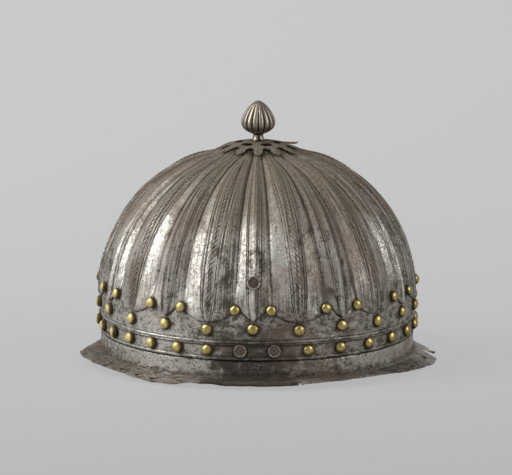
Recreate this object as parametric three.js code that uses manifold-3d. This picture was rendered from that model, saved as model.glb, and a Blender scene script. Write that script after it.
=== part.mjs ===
// A cavalry helmet: a fluted iron skull riveted over a flanged collar, with a pierced rosette and a
// ribbed bud. Millimetres, +Z up, the front faces -Y. The origin is the centre of the flange's underside.
import * as THREE from 'three';
import { mergeVertices } from 'three/addons/utils/BufferGeometryUtils.js';
import Module from 'manifold-3d';

const wasm = await Module();
wasm.setup();

const degree = Math.PI / 180;
const fullTurn = 2 * Math.PI;

// Clearances: between pieces that seat on or pass through each other, and how far a cutter overruns its cut
const seatGap = 0.35;
const cutOverrun = 1;

// Skull: a straight wall under a rounded crown, in one sheet
const skullRadius = 108.6;
const skullSheet = 1.8;
const wallHeight = 25.8;
const crownRise = 98.5;
const crownSidePower = 0.83;
const crownTopPower = 1.11;

// The skull leans forward over the flange, which stands level
const forwardLean = 2.5 * degree;
const skullSeatHeight = 22.3;

// Mouldings round the skull's lower edge, with a recessed band between them for the rivets
const lowerBeadHeight = 1.2;
const recessLow = 2.4;
const recessHigh = 9.8;
const upperBeadHeight = 11.5;
const mouldingTop = 13.3;
const beadProud = 0.7;
const recessDepth = 0.4;

// Flutes: wide and narrow ones by turns, each bulging between two creases. Along its middle a wide one
// has a rounded rope and a narrow one a sharp ridge, which keep their width up the crown.
const flutePairs = 11;
const wideFluteShare = 0.612;
const frontFluteTurn = -1.4 * degree;
const wideTipHeight = 25.4;
const narrowTipHeight = 26.5;
const fluteCuspHeight = 38;
const fluteProud = 1.6;
const fluteFullnessPower = 1.8;
const fluteFadePower = 0.7;
const pointedTipPower = 1.3;
const tipStepRun = 0.7;
const creaseDepth = 2.2;
const creaseRun = 12;
const ridgeHeight = 1.1;
const ropeHalfWidth = 2.5;
const ropeTopHalfWidth = 1.5;
const narrowRidgeHalfWidth = 2.4;
const ridgeWidestShare = 0.35;
const shoulderShare = 0.55;
const plainCrownRadius = 10;
const crownRowCount = 6;
const innerCrownRowCount = 4;

// Brim: a collar inside the skull's lower edge. It steps out under the edge to the skull's width, goes down
// to a foot, and turns out into a flange with a level lip.
const collarSheet = 1.5;
const collarOverlap = 11.8;
const shownCollarRadius = 108.2;
const collarStepHigh = 0.7;
const collarStepLow = 2.2;
const collarStepSink = 0.6;
const collarDrop = 12.7;
const filletHeight = 2.6;
const filletReach = 2.4;
const flangeWidth = 16.6;
const lipWidth = 5.5;
const lacingHoleSides = 5;
const lacingHoleRadius = 1.2;
const lacingHoleInset = 2.9;

// Lining band: a leather strap inside the collar
const leatherThickness = 2.2;
const liningBandLow = -7;
const liningBandHigh = 17;

// Rivets
const rivetSides = 6;
const shankRadius = 1.3;
const shankOverhang = 1.2;
const bandRivetCount = 30;
const bandRivetDrift = 1.7 * degree;
const bandRivetHeight = 6.4;
const bandHeadRadius = 4.1;
const bandHeadRise = 3.2;
const tipRivetDrop = 5.2;
const tipHeadRadius = 4;
const tipHeadRise = 3.3;
const tipHeadSink = 0.4;
const valleyRivetHeight = 33.8;
const valleyHeadRadius = 3.5;
const valleyHeadRise = 3;
const valleySeatShare = 0.5;
const plainHeadRadius = 4.3;
const plainHeadRise = 0.9;
const plugHeight = 51.7;
const plugHeadRadius = 4.6;
const headShoulderShare = 0.72;
const plainHeadShoulderShare = 0.8;

// Rosette: a thin domed plate cut into leaves, whose tips rest on the skull
const rosetteRadius = 29.3;
const rosetteSheet = 1;
const rosetteRise = 6.5;
const rosetteDomePower = 3;
const leafCount = 12;
const leafHalfShares = [[1, 0.61], [0.55, 0.66], [0.66, 0.77], [0.38, 0.91]];
const slotCount = 6;
const firstSlotTurn = 25 * degree;
const slotDistance = 12;
const slotHalfLength = 3.6;
const slotHalfWidth = 2.5;
const slotSides = 8;
const bentLeaf = 4;
const bentLeafLift = 4;

// Finial: a tapered ferrule, and a ribbed bud on a shank that is clenched inside the crown
const boreSides = 12;
const finialShankRadius = 2.4;
const ferruleHeight = 4.7;
const ferruleFootRadius = 5;
const ferruleTopRadius = 3.5;
const ferruleFootHeight = 1.1;
const budRadius = 11.8;
const budHeight = 22.7;
const budRibCount = 16;
const budRibDepth = 0.9;
const budRibShoulderShare = 0.3;
const budOutlineShares = [
  [0.42, 0], [0.72, 0.09], [0.94, 0.21], [1, 0.33], [0.92, 0.5], [0.73, 0.7], [0.42, 0.89],
];
const washerRadius = 8;
const washerThickness = 1.5;
const clenchRadius = 4.2;
const clenchThickness = 1.8;

const finishes = {
  iron: new THREE.MeshStandardMaterial({ color: 0x837c72, roughness: 0.42, metalness: 0.9 }),
  brownIron: new THREE.MeshStandardMaterial({ color: 0x6f6459, roughness: 0.5, metalness: 0.9 }),
  brass: new THREE.MeshStandardMaterial({ color: 0xc8aa5e, roughness: 0.28, metalness: 1 }),
  silveryBrass: new THREE.MeshStandardMaterial({ color: 0xa3967c, roughness: 0.33, metalness: 1 }),
  leather: new THREE.MeshStandardMaterial({ color: 0x4b3628, roughness: 0.8, metalness: 0 }),
};

// A closed body from rings of points, each running the same way round from about the same azimuth.
// Neighbours may differ in count, and a ring of one point is a tip.
function ringSolid(rings, isTube) {
  const positions = [];
  const numbered = rings.map((ring) => ring.map((point) => {
    positions.push(point.x, point.y, point.z);
    return positions.length / 3 - 1;
  }));
  const triangles = [];
  const joinCount = isTube ? rings.length : rings.length - 1;
  for (let row = 0; row < joinCount; row++) {
    const above = (row + 1) % rings.length;
    triangles.push(...joinRings(numbered[row], turnsOf(rings[row]), numbered[above], turnsOf(rings[above])));
  }
  const geometry = new THREE.BufferGeometry();
  geometry.setAttribute('position', new THREE.Float32BufferAttribute(positions, 3));
  geometry.setIndex(triangles);
  return geometry;
}

// How far round each point of a ring lies, growing from its first point to one full turn on
function turnsOf(ring) {
  const azimuths = ring.map(({ x, y }) => Math.atan2(x, -y));
  const turns = azimuths.map((azimuth) => azimuth < azimuths[0] ? azimuth + fullTurn : azimuth);
  return [...turns, turns[0] + fullTurn];
}

// Triangles between two rings, in the order in which the middles of their sides come round
function joinRings(lower, lowerTurns, upper, upperTurns) {
  const triangles = [];
  const lowerSides = lower.length > 1 ? lower.length : 0;
  const upperSides = upper.length > 1 ? upper.length : 0;
  let i = 0;
  let j = 0;
  while (i < lowerSides || j < upperSides) {
    const lowerMiddle = i < lowerSides ? lowerTurns[i] + lowerTurns[i + 1] : Infinity;
    const upperMiddle = j < upperSides ? upperTurns[j] + upperTurns[j + 1] : Infinity;
    if (lowerMiddle <= upperMiddle) {
      triangles.push(lower[i], lower[(i + 1) % lower.length], upper[j % upper.length]);
      i++;
    } else {
      triangles.push(lower[i % lower.length], upper[(j + 1) % upper.length], upper[j]);
      j++;
    }
  }
  return triangles;
}

// A body turned about +Z from a list of radius and height pairs, closed on itself or on the axis
function turned(outline, sides) {
  const points = outline.map(([radius, height]) => new THREE.Vector2(radius, height));
  return new THREE.LatheGeometry(points, sides).rotateX(Math.PI / 2);
}

function toSolid(geometry) {
  const bare = geometry.clone();
  bare.deleteAttribute('normal');
  bare.deleteAttribute('uv');
  const merged = mergeVertices(bare);
  return new wasm.Manifold(new wasm.Mesh({
    numProp: 3,
    vertProperties: Float32Array.from(merged.attributes.position.array),
    triVerts: Uint32Array.from(merged.index.array),
  }));
}

function toGeometry(solid) {
  const mesh = solid.getMesh();
  const geometry = new THREE.BufferGeometry();
  geometry.setAttribute('position', new THREE.BufferAttribute(mesh.vertProperties, 3));
  geometry.setIndex(new THREE.BufferAttribute(mesh.triVerts, 1));
  return geometry;
}

function addAll(geometry, additions) {
  return toGeometry(additions.reduce((solid, addition) => solid.add(toSolid(addition)), toSolid(geometry)));
}

function cutAll(geometry, cutters) {
  return toGeometry(cutters.reduce((solid, cutter) => solid.subtract(toSolid(cutter)), toSolid(geometry)));
}

function namedMesh(name, geometry, material) {
  const mesh = new THREE.Mesh(geometry, material);
  mesh.name = name;
  return mesh;
}

// A point round the helmet: azimuth 0 faces the front and grows towards +X
function roundPoint(radius, azimuth, height) {
  return new THREE.Vector3(radius * Math.sin(azimuth), -radius * Math.cos(azimuth), height);
}

// The angle that carries the crown's curve up to a height
function climbAt(height) {
  return Math.asin(Math.min(Math.max(height - wallHeight, 0) / crownRise, 1) ** (1 / crownTopPower));
}

function climbAtRadius(radius) {
  return Math.acos((radius / skullRadius) ** (1 / crownSidePower));
}

// The skull's plain side view: a point on it and the way that its surface faces, both as [outward, upward]
function sideView(height, climb) {
  if (climb === 0) {
    return { at: [skullRadius, height], facing: [1, 0] };
  }
  const sine = Math.sin(climb);
  const cosine = Math.cos(climb);
  const outward = crownRise * crownTopPower * sine ** (crownTopPower - 1) * cosine;
  const upward = skullRadius * crownSidePower * cosine ** (crownSidePower - 1) * sine;
  const size = Math.hypot(outward, upward);
  return {
    at: [skullRadius * cosine ** crownSidePower, wallHeight + crownRise * sine ** crownTopPower],
    facing: [outward / size, upward / size],
  };
}

function skullPoint(azimuth, height, climb, offset) {
  const { at, facing } = sideView(height, climb);
  return roundPoint(at[0] + offset * facing[0], azimuth, at[1] + offset * facing[1]);
}

function crownHeightAtRadius(radius) {
  return sideView(0, climbAtRadius(radius)).at[1];
}

// The flutes, front one first, each with its middle and half its width as angles
const pairTurn = fullTurn / flutePairs;
const flutes = [];
for (let pair = 0; pair < flutePairs; pair++) {
  const narrowMiddle = frontFluteTurn + pair * pairTurn;
  flutes.push({ isWide: false, middle: narrowMiddle, halfTurn: (1 - wideFluteShare) * pairTurn / 2 });
  flutes.push({ isWide: true, middle: narrowMiddle + pairTurn / 2, halfTurn: wideFluteShare * pairTurn / 2 });
}

// A flute's ridge at a radius: half its width at the foot and along its top
function ridgeWidths({ isWide, halfTurn }, radius) {
  const foot = isWide ? ropeHalfWidth : narrowRidgeHalfWidth;
  const top = isWide ? ropeTopHalfWidth : 0;
  const narrowing = Math.min(ridgeWidestShare * radius * halfTurn / foot, 1);
  return { foot: foot * narrowing, top: top * narrowing };
}

// Columns across every flute: at its left crease, its shoulders, and its ridge's feet and top
function fluteColumns() {
  return flutes.flatMap((flute) => {
    const acrossRidge = (side, width) => (radius) =>
      side * ridgeWidths(flute, radius)[width] / (radius * flute.halfTurn);
    const tops = flute.isWide ? [acrossRidge(-1, 'top'), acrossRidge(1, 'top')] : [() => 0];
    const places = [
      () => -1,
      () => -shoulderShare,
      acrossRidge(-1, 'foot'),
      ...tops,
      acrossRidge(1, 'foot'),
      () => shoulderShare,
    ];
    return places.map((acrossAt) => ({ flute, acrossAt }));
  });
}

// The flute's lower end: round on a wide flute, pointed on a narrow one
function fluteEndHeight({ isWide }, across) {
  const rise = isWide ? 1 - Math.sqrt(1 - across ** 2) : Math.abs(across) ** pointedTipPower;
  return THREE.MathUtils.lerp(isWide ? wideTipHeight : narrowTipHeight, fluteCuspHeight, rise);
}

// How far the beaten sheet stands out from the plain skull
function fluteRelief(flute, across, height, climb) {
  const [radius, level] = sideView(height, climb).at;
  const fade = Math.max((radius - plainCrownRadius) / (skullRadius - plainCrownRadius), 0) ** fluteFadePower;
  const aboveEnd = Math.max(level - fluteEndHeight(flute, across), 0);
  const fall = Math.abs(across) ** fluteFullnessPower;
  const { foot, top } = ridgeWidths(flute, radius);
  const fromMiddle = Math.abs(across) * radius * flute.halfTurn;
  const ridge = THREE.MathUtils.clamp((foot - fromMiddle) / (foot - top), 0, 1);
  const crease = creaseDepth * Math.min(aboveEnd / creaseRun, 1);
  return fade * (fluteProud * (1 - fall) + ridgeHeight * ridge - crease * fall);
}

function evenAzimuths(count, start) {
  return Array.from({ length: count }, (_, index) => start + index * fullTurn / count);
}

// The band rivets flank the front, a little closer there and behind than at the sides. Collar and wall have
// two facets to each rivet, one behind it and one with a lacing hole, and the strap has one.
function drifted(azimuth) {
  return azimuth + bandRivetDrift * (1 - Math.cos(2 * azimuth));
}

const halfRivetTurn = fullTurn / bandRivetCount / 2;
const bandRivetAzimuths = evenAzimuths(bandRivetCount, -halfRivetTurn).map(drifted);
const wallAzimuths = evenAzimuths(2 * bandRivetCount, -1.5 * halfRivetTurn).map(drifted);
const strapAzimuths = evenAzimuths(bandRivetCount, -2 * halfRivetTurn).map(drifted);
const lacingAzimuths = evenAzimuths(bandRivetCount, 0).map(drifted);

const finialHoleRadius = finialShankRadius + seatGap;

// The beaten bowl with its mouldings and flutes, before its rivet holes
function skullBowl() {
  const outerColumns = fluteColumns();
  const innerColumns = flutes.flatMap((flute) => [-1, 0].map((across) => ({ flute, across })));
  const wallRows = [
    [0, 0],
    [lowerBeadHeight, beadProud],
    [recessLow, -recessDepth],
    [recessHigh, -recessDepth],
    [upperBeadHeight, beadProud],
    [mouldingTop, 0],
  ];
  const rings = wallRows.map(([height, offset]) =>
    wallAzimuths.map((azimuth) => skullPoint(azimuth, height, 0, offset)));
  rings.push(outerColumns.map(({ flute, acrossAt }) => {
    const across = acrossAt(skullRadius);
    const height = fluteEndHeight(flute, across);
    return skullPoint(flute.middle + across * flute.halfTurn, height, climbAt(height), 0);
  }));
  const topClimb = climbAtRadius(plainCrownRadius);
  for (let row = 0; row <= crownRowCount; row++) {
    rings.push(outerColumns.map(({ flute, acrossAt }) => {
      const startHeight = fluteEndHeight(flute, acrossAt(skullRadius)) + tipStepRun;
      const climb = THREE.MathUtils.lerp(climbAt(startHeight), topClimb, row / crownRowCount);
      const across = acrossAt(sideView(startHeight, climb).at[0]);
      const relief = fluteRelief(flute, across, startHeight, climb);
      return skullPoint(flute.middle + across * flute.halfTurn, startHeight, climb, relief);
    }));
  }
  const holeClimb = climbAtRadius(finialHoleRadius);
  rings.push(outerColumns.map(({ flute, acrossAt }) =>
    skullPoint(flute.middle + acrossAt(plainCrownRadius) * flute.halfTurn, 0, holeClimb, 0)));
  rings.push(innerColumns.map(({ flute, across }) =>
    skullPoint(flute.middle + across * flute.halfTurn, 0, holeClimb, -skullSheet)));
  for (let row = 0; row <= innerCrownRowCount; row++) {
    const climb = THREE.MathUtils.lerp(topClimb, climbAt(fluteCuspHeight), row / innerCrownRowCount);
    rings.push(innerColumns.map(({ flute, across }) => {
      const offset = fluteRelief(flute, across, 0, climb) - skullSheet;
      return skullPoint(flute.middle + across * flute.halfTurn, 0, climb, offset);
    }));
  }
  for (const height of [wallHeight, 0]) {
    rings.push(wallAzimuths.map((azimuth) => skullPoint(azimuth, height, 0, -skullSheet)));
  }
  return ringSolid(rings, true);
}

// Where a rivet sits on the skull: a frame whose +Z points away from the sheet
function rivetFrame(azimuth, height, offset) {
  const climb = climbAt(height);
  const { facing } = sideView(height, climb);
  const away = roundPoint(facing[0], azimuth, facing[1]);
  const turn = new THREE.Quaternion().setFromUnitVectors(new THREE.Vector3(0, 0, 1), away);
  const unitScale = new THREE.Vector3(1, 1, 1);
  return new THREE.Matrix4().compose(skullPoint(azimuth, height, climb, offset), turn, unitScale);
}

// A domed head over a shank: the underside of the head is at height 0
function rivetGeometry(headRadius, headRise, domeShare, shankLength) {
  return turned([
    [0, -shankLength],
    [shankRadius, -shankLength],
    [shankRadius, 0],
    [headRadius, 0],
    [headRadius * domeShare, headRise * domeShare],
    [0, headRise],
  ], rivetSides);
}

// A square punched hole that a rivet's shank goes through
function holeCutter(frame, reachIn, reachOut) {
  const holeWidth = 2 * (shankRadius + seatGap);
  const cutter = new THREE.BoxGeometry(holeWidth, holeWidth, reachIn + reachOut);
  return cutter.translate(0, 0, (reachOut - reachIn) / 2).applyMatrix4(frame);
}

// What the band rivets hold together, from the skull inwards
const collarRadius = skullRadius - skullSheet - seatGap;
const liningRadius = collarRadius - collarSheet - seatGap;
const bandStack = skullSheet + collarSheet + leatherThickness + 2 * seatGap;

const bandFrames = bandRivetAzimuths.map((azimuth) => rivetFrame(azimuth, bandRivetHeight, seatGap));
const valleySeat = fluteProud * valleySeatShare + seatGap;
const valleyFrames = flutes.map(({ middle, halfTurn }) =>
  rivetFrame(middle + halfTurn, valleyRivetHeight, valleySeat));
const plugSeat = fluteRelief(flutes[0], 0, plugHeight, climbAt(plugHeight)) + seatGap;
const plugFrame = rivetFrame(frontFluteTurn, plugHeight, plugSeat);
const bandShankLength = seatGap + bandStack + shankOverhang;
const valleyShankLength = valleySeat + skullSheet + shankOverhang;
const plugShankLength = plugSeat + skullSheet + shankOverhang;

// The skull with its holes. The rivets under the flutes' tips are one with it here: their heads are
// set into the wall.
function skull() {
  const tipHeads = flutes.map((flute) => {
    const frame = rivetFrame(flute.middle, fluteEndHeight(flute, 0) - tipRivetDrop, 0);
    return turned([
      [0, -tipHeadSink],
      [tipHeadRadius, -tipHeadSink],
      [tipHeadRadius * headShoulderShare, tipHeadRise * headShoulderShare],
      [0, tipHeadRise],
    ], rivetSides).applyMatrix4(frame);
  });
  const cutters = [
    ...bandFrames.map((frame) => holeCutter(frame, bandShankLength, cutOverrun)),
    ...valleyFrames.map((frame) => holeCutter(frame, valleyShankLength, cutOverrun)),
    holeCutter(plugFrame, plugShankLength, cutOverrun),
  ];
  return cutAll(addAll(skullBowl(), tipHeads), cutters);
}

// The frame of everything that leans with the skull
const leaning = new THREE.Group();
leaning.rotation.x = forwardLean;
leaning.position.z = skullSeatHeight;
leaning.updateMatrix();

function leaningPoint(radius, azimuth, height) {
  return roundPoint(radius, azimuth, height).applyMatrix4(leaning.matrix);
}

const rimRadius = shownCollarRadius + flangeWidth;

// One face of the sheet at an azimuth, from the level lip over the foot and the step up to the collar's top
function brimFace(azimuth, inset, lipHeight) {
  const sink = inset === 0 ? 0 : collarStepSink;
  return [
    roundPoint(rimRadius, azimuth, lipHeight),
    roundPoint(rimRadius - lipWidth, azimuth, lipHeight),
    leaningPoint(shownCollarRadius - inset + filletReach, azimuth, -collarDrop),
    leaningPoint(shownCollarRadius - inset, azimuth, filletHeight - collarDrop),
    leaningPoint(shownCollarRadius - inset, azimuth, -collarStepLow - sink),
    leaningPoint(collarRadius - inset, azimuth, -collarStepHigh - sink),
    leaningPoint(collarRadius - inset, azimuth, collarOverlap),
  ];
}

// Collar and flange in one sheet, with lacing holes in the lip and holes for the band rivets
function brim() {
  const sections = wallAzimuths.map((azimuth) => [
    ...brimFace(azimuth, 0, collarSheet),
    ...brimFace(azimuth, collarSheet, 0).reverse(),
  ]);
  const rings = sections[0].map((_, row) => sections.map((section) => section[row]));
  const lacingCutters = lacingAzimuths.map((azimuth) => {
    const height = collarSheet + 2 * cutOverrun;
    const cutter = new THREE.CylinderGeometry(lacingHoleRadius, lacingHoleRadius, height, lacingHoleSides);
    const { x, y } = roundPoint(rimRadius - lacingHoleInset, azimuth, 0);
    return cutter.rotateX(Math.PI / 2).translate(x, y, collarSheet / 2);
  });
  const rivetCutters = bandFrames.map((frame) =>
    holeCutter(frame, bandShankLength + cutOverrun, 0).applyMatrix4(leaning.matrix));
  return cutAll(ringSolid(rings, true), [...lacingCutters, ...rivetCutters]);
}

// The strap, with the band rivets' holes
function liningBand() {
  const outline = [
    [liningRadius - leatherThickness, liningBandLow],
    [liningRadius, liningBandLow],
    [liningRadius, liningBandHigh],
    [liningRadius - leatherThickness, liningBandHigh],
  ];
  const rings = outline.map(([radius, height]) =>
    strapAzimuths.map((azimuth) => roundPoint(radius, azimuth, height)));
  const cutters = bandFrames.map((frame) => holeCutter(frame, bandShankLength + cutOverrun, 0));
  return cutAll(ringSolid(rings, true), cutters);
}

// The highest that the beaten crown stands at the circle of the rosette's leaf tips
const tipCircleClimb = climbAtRadius(rosetteRadius);
const tipCircleRelief = fluteRelief(flutes[0], 0, 0, tipCircleClimb);
const leafTipHeight = crownHeightAtRadius(rosetteRadius) + tipCircleRelief + seatGap;
const hubTop = leafTipHeight + rosetteRise + rosetteSheet;

function rosetteOutline() {
  const halfLeafTurn = fullTurn / leafCount / 2;
  const mirrored = leafHalfShares.slice(1).reverse();
  const points = [];
  for (let leaf = 0; leaf < leafCount; leaf++) {
    const middle = leaf * 2 * halfLeafTurn;
    const addPoint = (turnShare, radiusShare) => {
      const { x, y } = roundPoint(rosetteRadius * radiusShare, middle + turnShare * halfLeafTurn, 0);
      points.push(new THREE.Vector2(x, y));
    };
    leafHalfShares.forEach(([turnShare, radiusShare]) => addPoint(-turnShare, radiusShare));
    addPoint(0, 1);
    mirrored.forEach(([turnShare, radiusShare]) => addPoint(turnShare, radiusShare));
  }
  const shape = new THREE.Shape(points);
  const hub = new THREE.Path().absarc(0, 0, finialHoleRadius, 0, fullTurn, true);
  shape.holes.push(new THREE.Path(hub.getPoints(boreSides / 2)));
  evenAzimuths(slotCount, firstSlotTurn).forEach((azimuth) => {
    const { x, y } = roundPoint(slotDistance, azimuth, 0);
    const slot = new THREE.Path().absellipse(x, y, slotHalfLength, slotHalfWidth, 0, fullTurn, true, azimuth);
    shape.holes.push(new THREE.Path(slot.getPoints(slotSides / 2)));
  });
  return shape;
}

// The flat cut plate, domed over the crown, with one leaf bent up
function rosette() {
  const geometry = new THREE.ExtrudeGeometry(rosetteOutline(), { depth: rosetteSheet, bevelEnabled: false });
  const place = geometry.attributes.position;
  const bentMiddle = bentLeaf * fullTurn / leafCount;
  const notchRadius = rosetteRadius * leafHalfShares[0][1];
  for (let index = 0; index < place.count; index++) {
    const x = place.getX(index);
    const y = place.getY(index);
    const radius = Math.hypot(x, y);
    const azimuth = Math.atan2(x, -y);
    const isOnBentLeaf = Math.abs(azimuth - bentMiddle) < fullTurn / leafCount / 2;
    const alongLeaf = Math.max((radius - notchRadius) / (rosetteRadius - notchRadius), 0);
    const bend = isOnBentLeaf ? bentLeafLift * alongLeaf ** 2 : 0;
    const dome = rosetteRise * (1 - (radius / rosetteRadius) ** rosetteDomePower);
    place.setZ(index, place.getZ(index) + leafTipHeight + dome + bend);
  }
  return geometry;
}

function boredDisc(outline, sides) {
  return turned([...outline, outline[0]], sides);
}

function finialFerrule() {
  const bottom = hubTop + seatGap;
  return boredDisc([
    [finialHoleRadius, bottom],
    [ferruleFootRadius, bottom],
    [ferruleFootRadius, bottom + ferruleFootHeight],
    [ferruleTopRadius, bottom + ferruleHeight],
    [finialHoleRadius, bottom + ferruleHeight],
  ], boreSides);
}

const washerTop = crownHeightAtRadius(washerRadius) - skullSheet - seatGap;

function crownWasher() {
  return boredDisc([
    [finialHoleRadius, washerTop - washerThickness],
    [washerRadius, washerTop - washerThickness],
    [washerRadius, washerTop],
    [finialHoleRadius, washerTop],
  ], boreSides);
}

// The bud with its ribs, and its shank down through the crown to the clenched end
function finialBud() {
  const ribShares = [0, budRibShoulderShare, 1 - budRibShoulderShare];
  const plainRing = (radius, height) =>
    evenAzimuths(boreSides, 0).map((azimuth) => roundPoint(radius, azimuth, height));
  const bottom = hubTop + ferruleHeight + 2 * seatGap;
  const clenchTop = washerTop - washerThickness - seatGap;
  const ring = (radius, height, ribDepth) => evenAzimuths(budRibCount, 0).flatMap((azimuth) =>
    ribShares.map((share) =>
      roundPoint(radius - (share === 0 ? ribDepth : 0), azimuth + share * fullTurn / budRibCount, height)));
  const tip = (height) => [new THREE.Vector3(0, 0, height)];
  return ringSolid([
    tip(clenchTop - clenchThickness),
    plainRing(clenchRadius, clenchTop - clenchThickness),
    plainRing(clenchRadius, clenchTop),
    plainRing(finialShankRadius, clenchTop),
    plainRing(finialShankRadius, bottom),
    ...budOutlineShares.map(([radiusShare, heightShare]) =>
      ring(budRadius * radiusShare, bottom + budHeight * heightShare, budRibDepth * radiusShare)),
    tip(bottom + budHeight),
  ], false);
}

function placedRivet(name, geometry, material, frame) {
  const mesh = namedMesh(name, geometry, material);
  frame.decompose(mesh.position, mesh.quaternion, mesh.scale);
  return mesh;
}

function twoDigits(index) {
  return String(index + 1).padStart(2, '0');
}

leaning.add(
  namedMesh('skull', skull(), finishes.iron),
  namedMesh('lining_band', liningBand(), finishes.leather),
  namedMesh('rosette', rosette(), finishes.brownIron),
  namedMesh('finial_ferrule', finialFerrule(), finishes.silveryBrass),
  namedMesh('finial_bud', finialBud(), finishes.silveryBrass),
  namedMesh('crown_washer', crownWasher(), finishes.brownIron),
);

// The first two band rivets flank the front and have lost their caps
const plainHead = rivetGeometry(plainHeadRadius, plainHeadRise, plainHeadShoulderShare, bandShankLength);
const bandHead = rivetGeometry(bandHeadRadius, bandHeadRise, headShoulderShare, bandShankLength);
bandFrames.forEach((frame, index) => {
  const isPlain = index < 2;
  const geometry = isPlain ? plainHead : bandHead;
  const material = isPlain ? finishes.brownIron : finishes.brass;
  leaning.add(placedRivet(`band_rivet_${twoDigits(index)}`, geometry, material, frame));
});
const valleyHead = rivetGeometry(valleyHeadRadius, valleyHeadRise, headShoulderShare, valleyShankLength);
valleyFrames.forEach((frame, index) => {
  leaning.add(placedRivet(`valley_rivet_${twoDigits(index)}`, valleyHead, finishes.brass, frame));
});
const plugHead = rivetGeometry(plugHeadRadius, plainHeadRise, plainHeadShoulderShare, plugShankLength);
leaning.add(placedRivet('flute_plug', plugHead, finishes.brownIron, plugFrame));

const helmet = new THREE.Group();
helmet.add(namedMesh('brim', brim(), finishes.iron), leaning);

export default helmet;
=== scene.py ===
"""A fluted iron cavalry helmet: an add-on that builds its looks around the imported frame."""

import math

import bpy
import numpy as np
from bpy.props import FloatProperty, FloatVectorProperty, IntProperty, PointerProperty
from mathutils import Matrix, Vector
from mathutils.geometry import delaunay_2d_cdt


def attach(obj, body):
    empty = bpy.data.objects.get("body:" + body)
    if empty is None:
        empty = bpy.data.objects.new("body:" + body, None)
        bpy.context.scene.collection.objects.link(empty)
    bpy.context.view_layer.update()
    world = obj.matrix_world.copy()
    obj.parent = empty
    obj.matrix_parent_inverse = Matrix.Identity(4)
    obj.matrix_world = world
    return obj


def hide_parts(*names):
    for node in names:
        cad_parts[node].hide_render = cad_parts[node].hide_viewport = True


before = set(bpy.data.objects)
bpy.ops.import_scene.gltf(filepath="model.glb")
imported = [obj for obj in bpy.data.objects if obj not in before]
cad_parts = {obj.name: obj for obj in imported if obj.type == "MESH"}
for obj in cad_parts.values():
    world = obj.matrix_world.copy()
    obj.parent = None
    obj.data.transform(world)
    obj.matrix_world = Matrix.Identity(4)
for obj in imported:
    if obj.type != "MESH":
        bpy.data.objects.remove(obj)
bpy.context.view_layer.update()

bl_info = {
    "name": "Fluted Cavalry Helmet",
    "version": (1, 0, 0),
    "blender": (4, 5, 0),
    "location": "View3D > Sidebar > Helmet",
    "description": "Builds a fluted iron helmet with brass caps, a leaf rosette and a ribbed bud",
    "category": "Object",
}

MM = 0.001
DEGREE = math.pi / 180
FULL_TURN = 2 * math.pi
TINY = 1e-9


# Settings that a user would change


def number(name, description, default, unit):
    return FloatProperty(
        name=name, description=description, default=default, unit=unit, precision=5
    )


def length(name, description, millimetres):
    return number(name, description, millimetres * MM, "LENGTH")


def colour(name, description, *channels):
    return FloatVectorProperty(
        name=name, description=description, default=channels, subtype="COLOR", min=0, max=1
    )


class SkullSettings(bpy.types.PropertyGroup):
    radius: length("Radius", "Outside radius of the skull's straight wall", 108.6)
    sheet: length("Sheet", "Thickness of the skull's iron", 1.8)
    wall_height: length("Wall height", "Where the crown starts to curve in", 25.8)
    crown_rise: length("Crown rise", "Height of the crown over the wall", 98.5)
    seat_height: length("Seat height", "Height of the skull's lower edge over the table", 22.3)
    flute_pairs: IntProperty(
        name="Flute pairs", description="Pairs of one narrow and one wide flute", default=11, min=3
    )
    flute_proud: length("Flute bulge", "How far a flute stands out along its middle", 1.6)
    crease_depth: length("Crease depth", "How far the creases are beaten in", 2.2)
    ridge_height: length("Ridge height", "Height of the ridge on a narrow flute", 1.1)
    ridge_half_width: length("Ridge half width", "Half the width of that ridge", 2.4)
    line_depth: length("Line depth", "Depth of the chased lines beside the ridges", 0.4)
    rope_radius: length("Rope radius", "Radius of the roped ridge on a wide flute", 2.4)
    rope_pitch: length("Rope pitch", "Length of one full twist of the roped ridge", 18)


class BrimSettings(bpy.types.PropertyGroup):
    sheet: length("Sheet", "Thickness of the collar and the flange", 1.3)
    collar_radius: length("Collar radius", "Outside radius of the collar under the skull", 108.2)
    collar_drop: length("Collar drop", "How far the collar shows under the skull", 12.7)
    hole_radius: length("Hole radius", "Radius of the lacing holes", 1.6)


class RivetSettings(bpy.types.PropertyGroup):
    band_radius: length("Band cap radius", "Radius of the caps in the lowest row", 4.1)
    tip_radius: length("Tip cap radius", "Radius of the caps under the flutes' tips", 4.1)
    valley_radius: length("Valley cap radius", "Radius of the caps between the flutes", 3.8)
    plain_radius: length("Plain head radius", "Radius of the heads that lost their caps", 4.3)
    plug_radius: length("Plug radius", "Radius of the plug in the front flute", 4.6)


class CrownSettings(bpy.types.PropertyGroup):
    rosette_radius: length("Rosette radius", "From the axis to the leaves' tips", 29.3)
    rosette_sheet: length("Rosette sheet", "Thickness of the rosette's plate", 0.7)
    rosette_rise: length("Rosette rise", "How far the rosette is domed", 6.5)
    bud_radius: length("Bud radius", "Widest radius of the bud", 11.8)
    bud_height: length("Bud height", "Height of the bud", 22.7)
    bud_ribs: IntProperty(name="Bud ribs", description="Ribs round the bud", default=16, min=5)


class LiningSettings(bpy.types.PropertyGroup):
    thickness: length("Thickness", "Thickness of the leather strap", 2.2)
    low: length("Lower edge", "Lower edge, from the skull's lower edge", -7)
    high: length("Upper edge", "Upper edge, from the skull's lower edge", 17)
    stitch_length: length("Stitch length", "Length of one stitch of the lost lining", 3.2)


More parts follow.
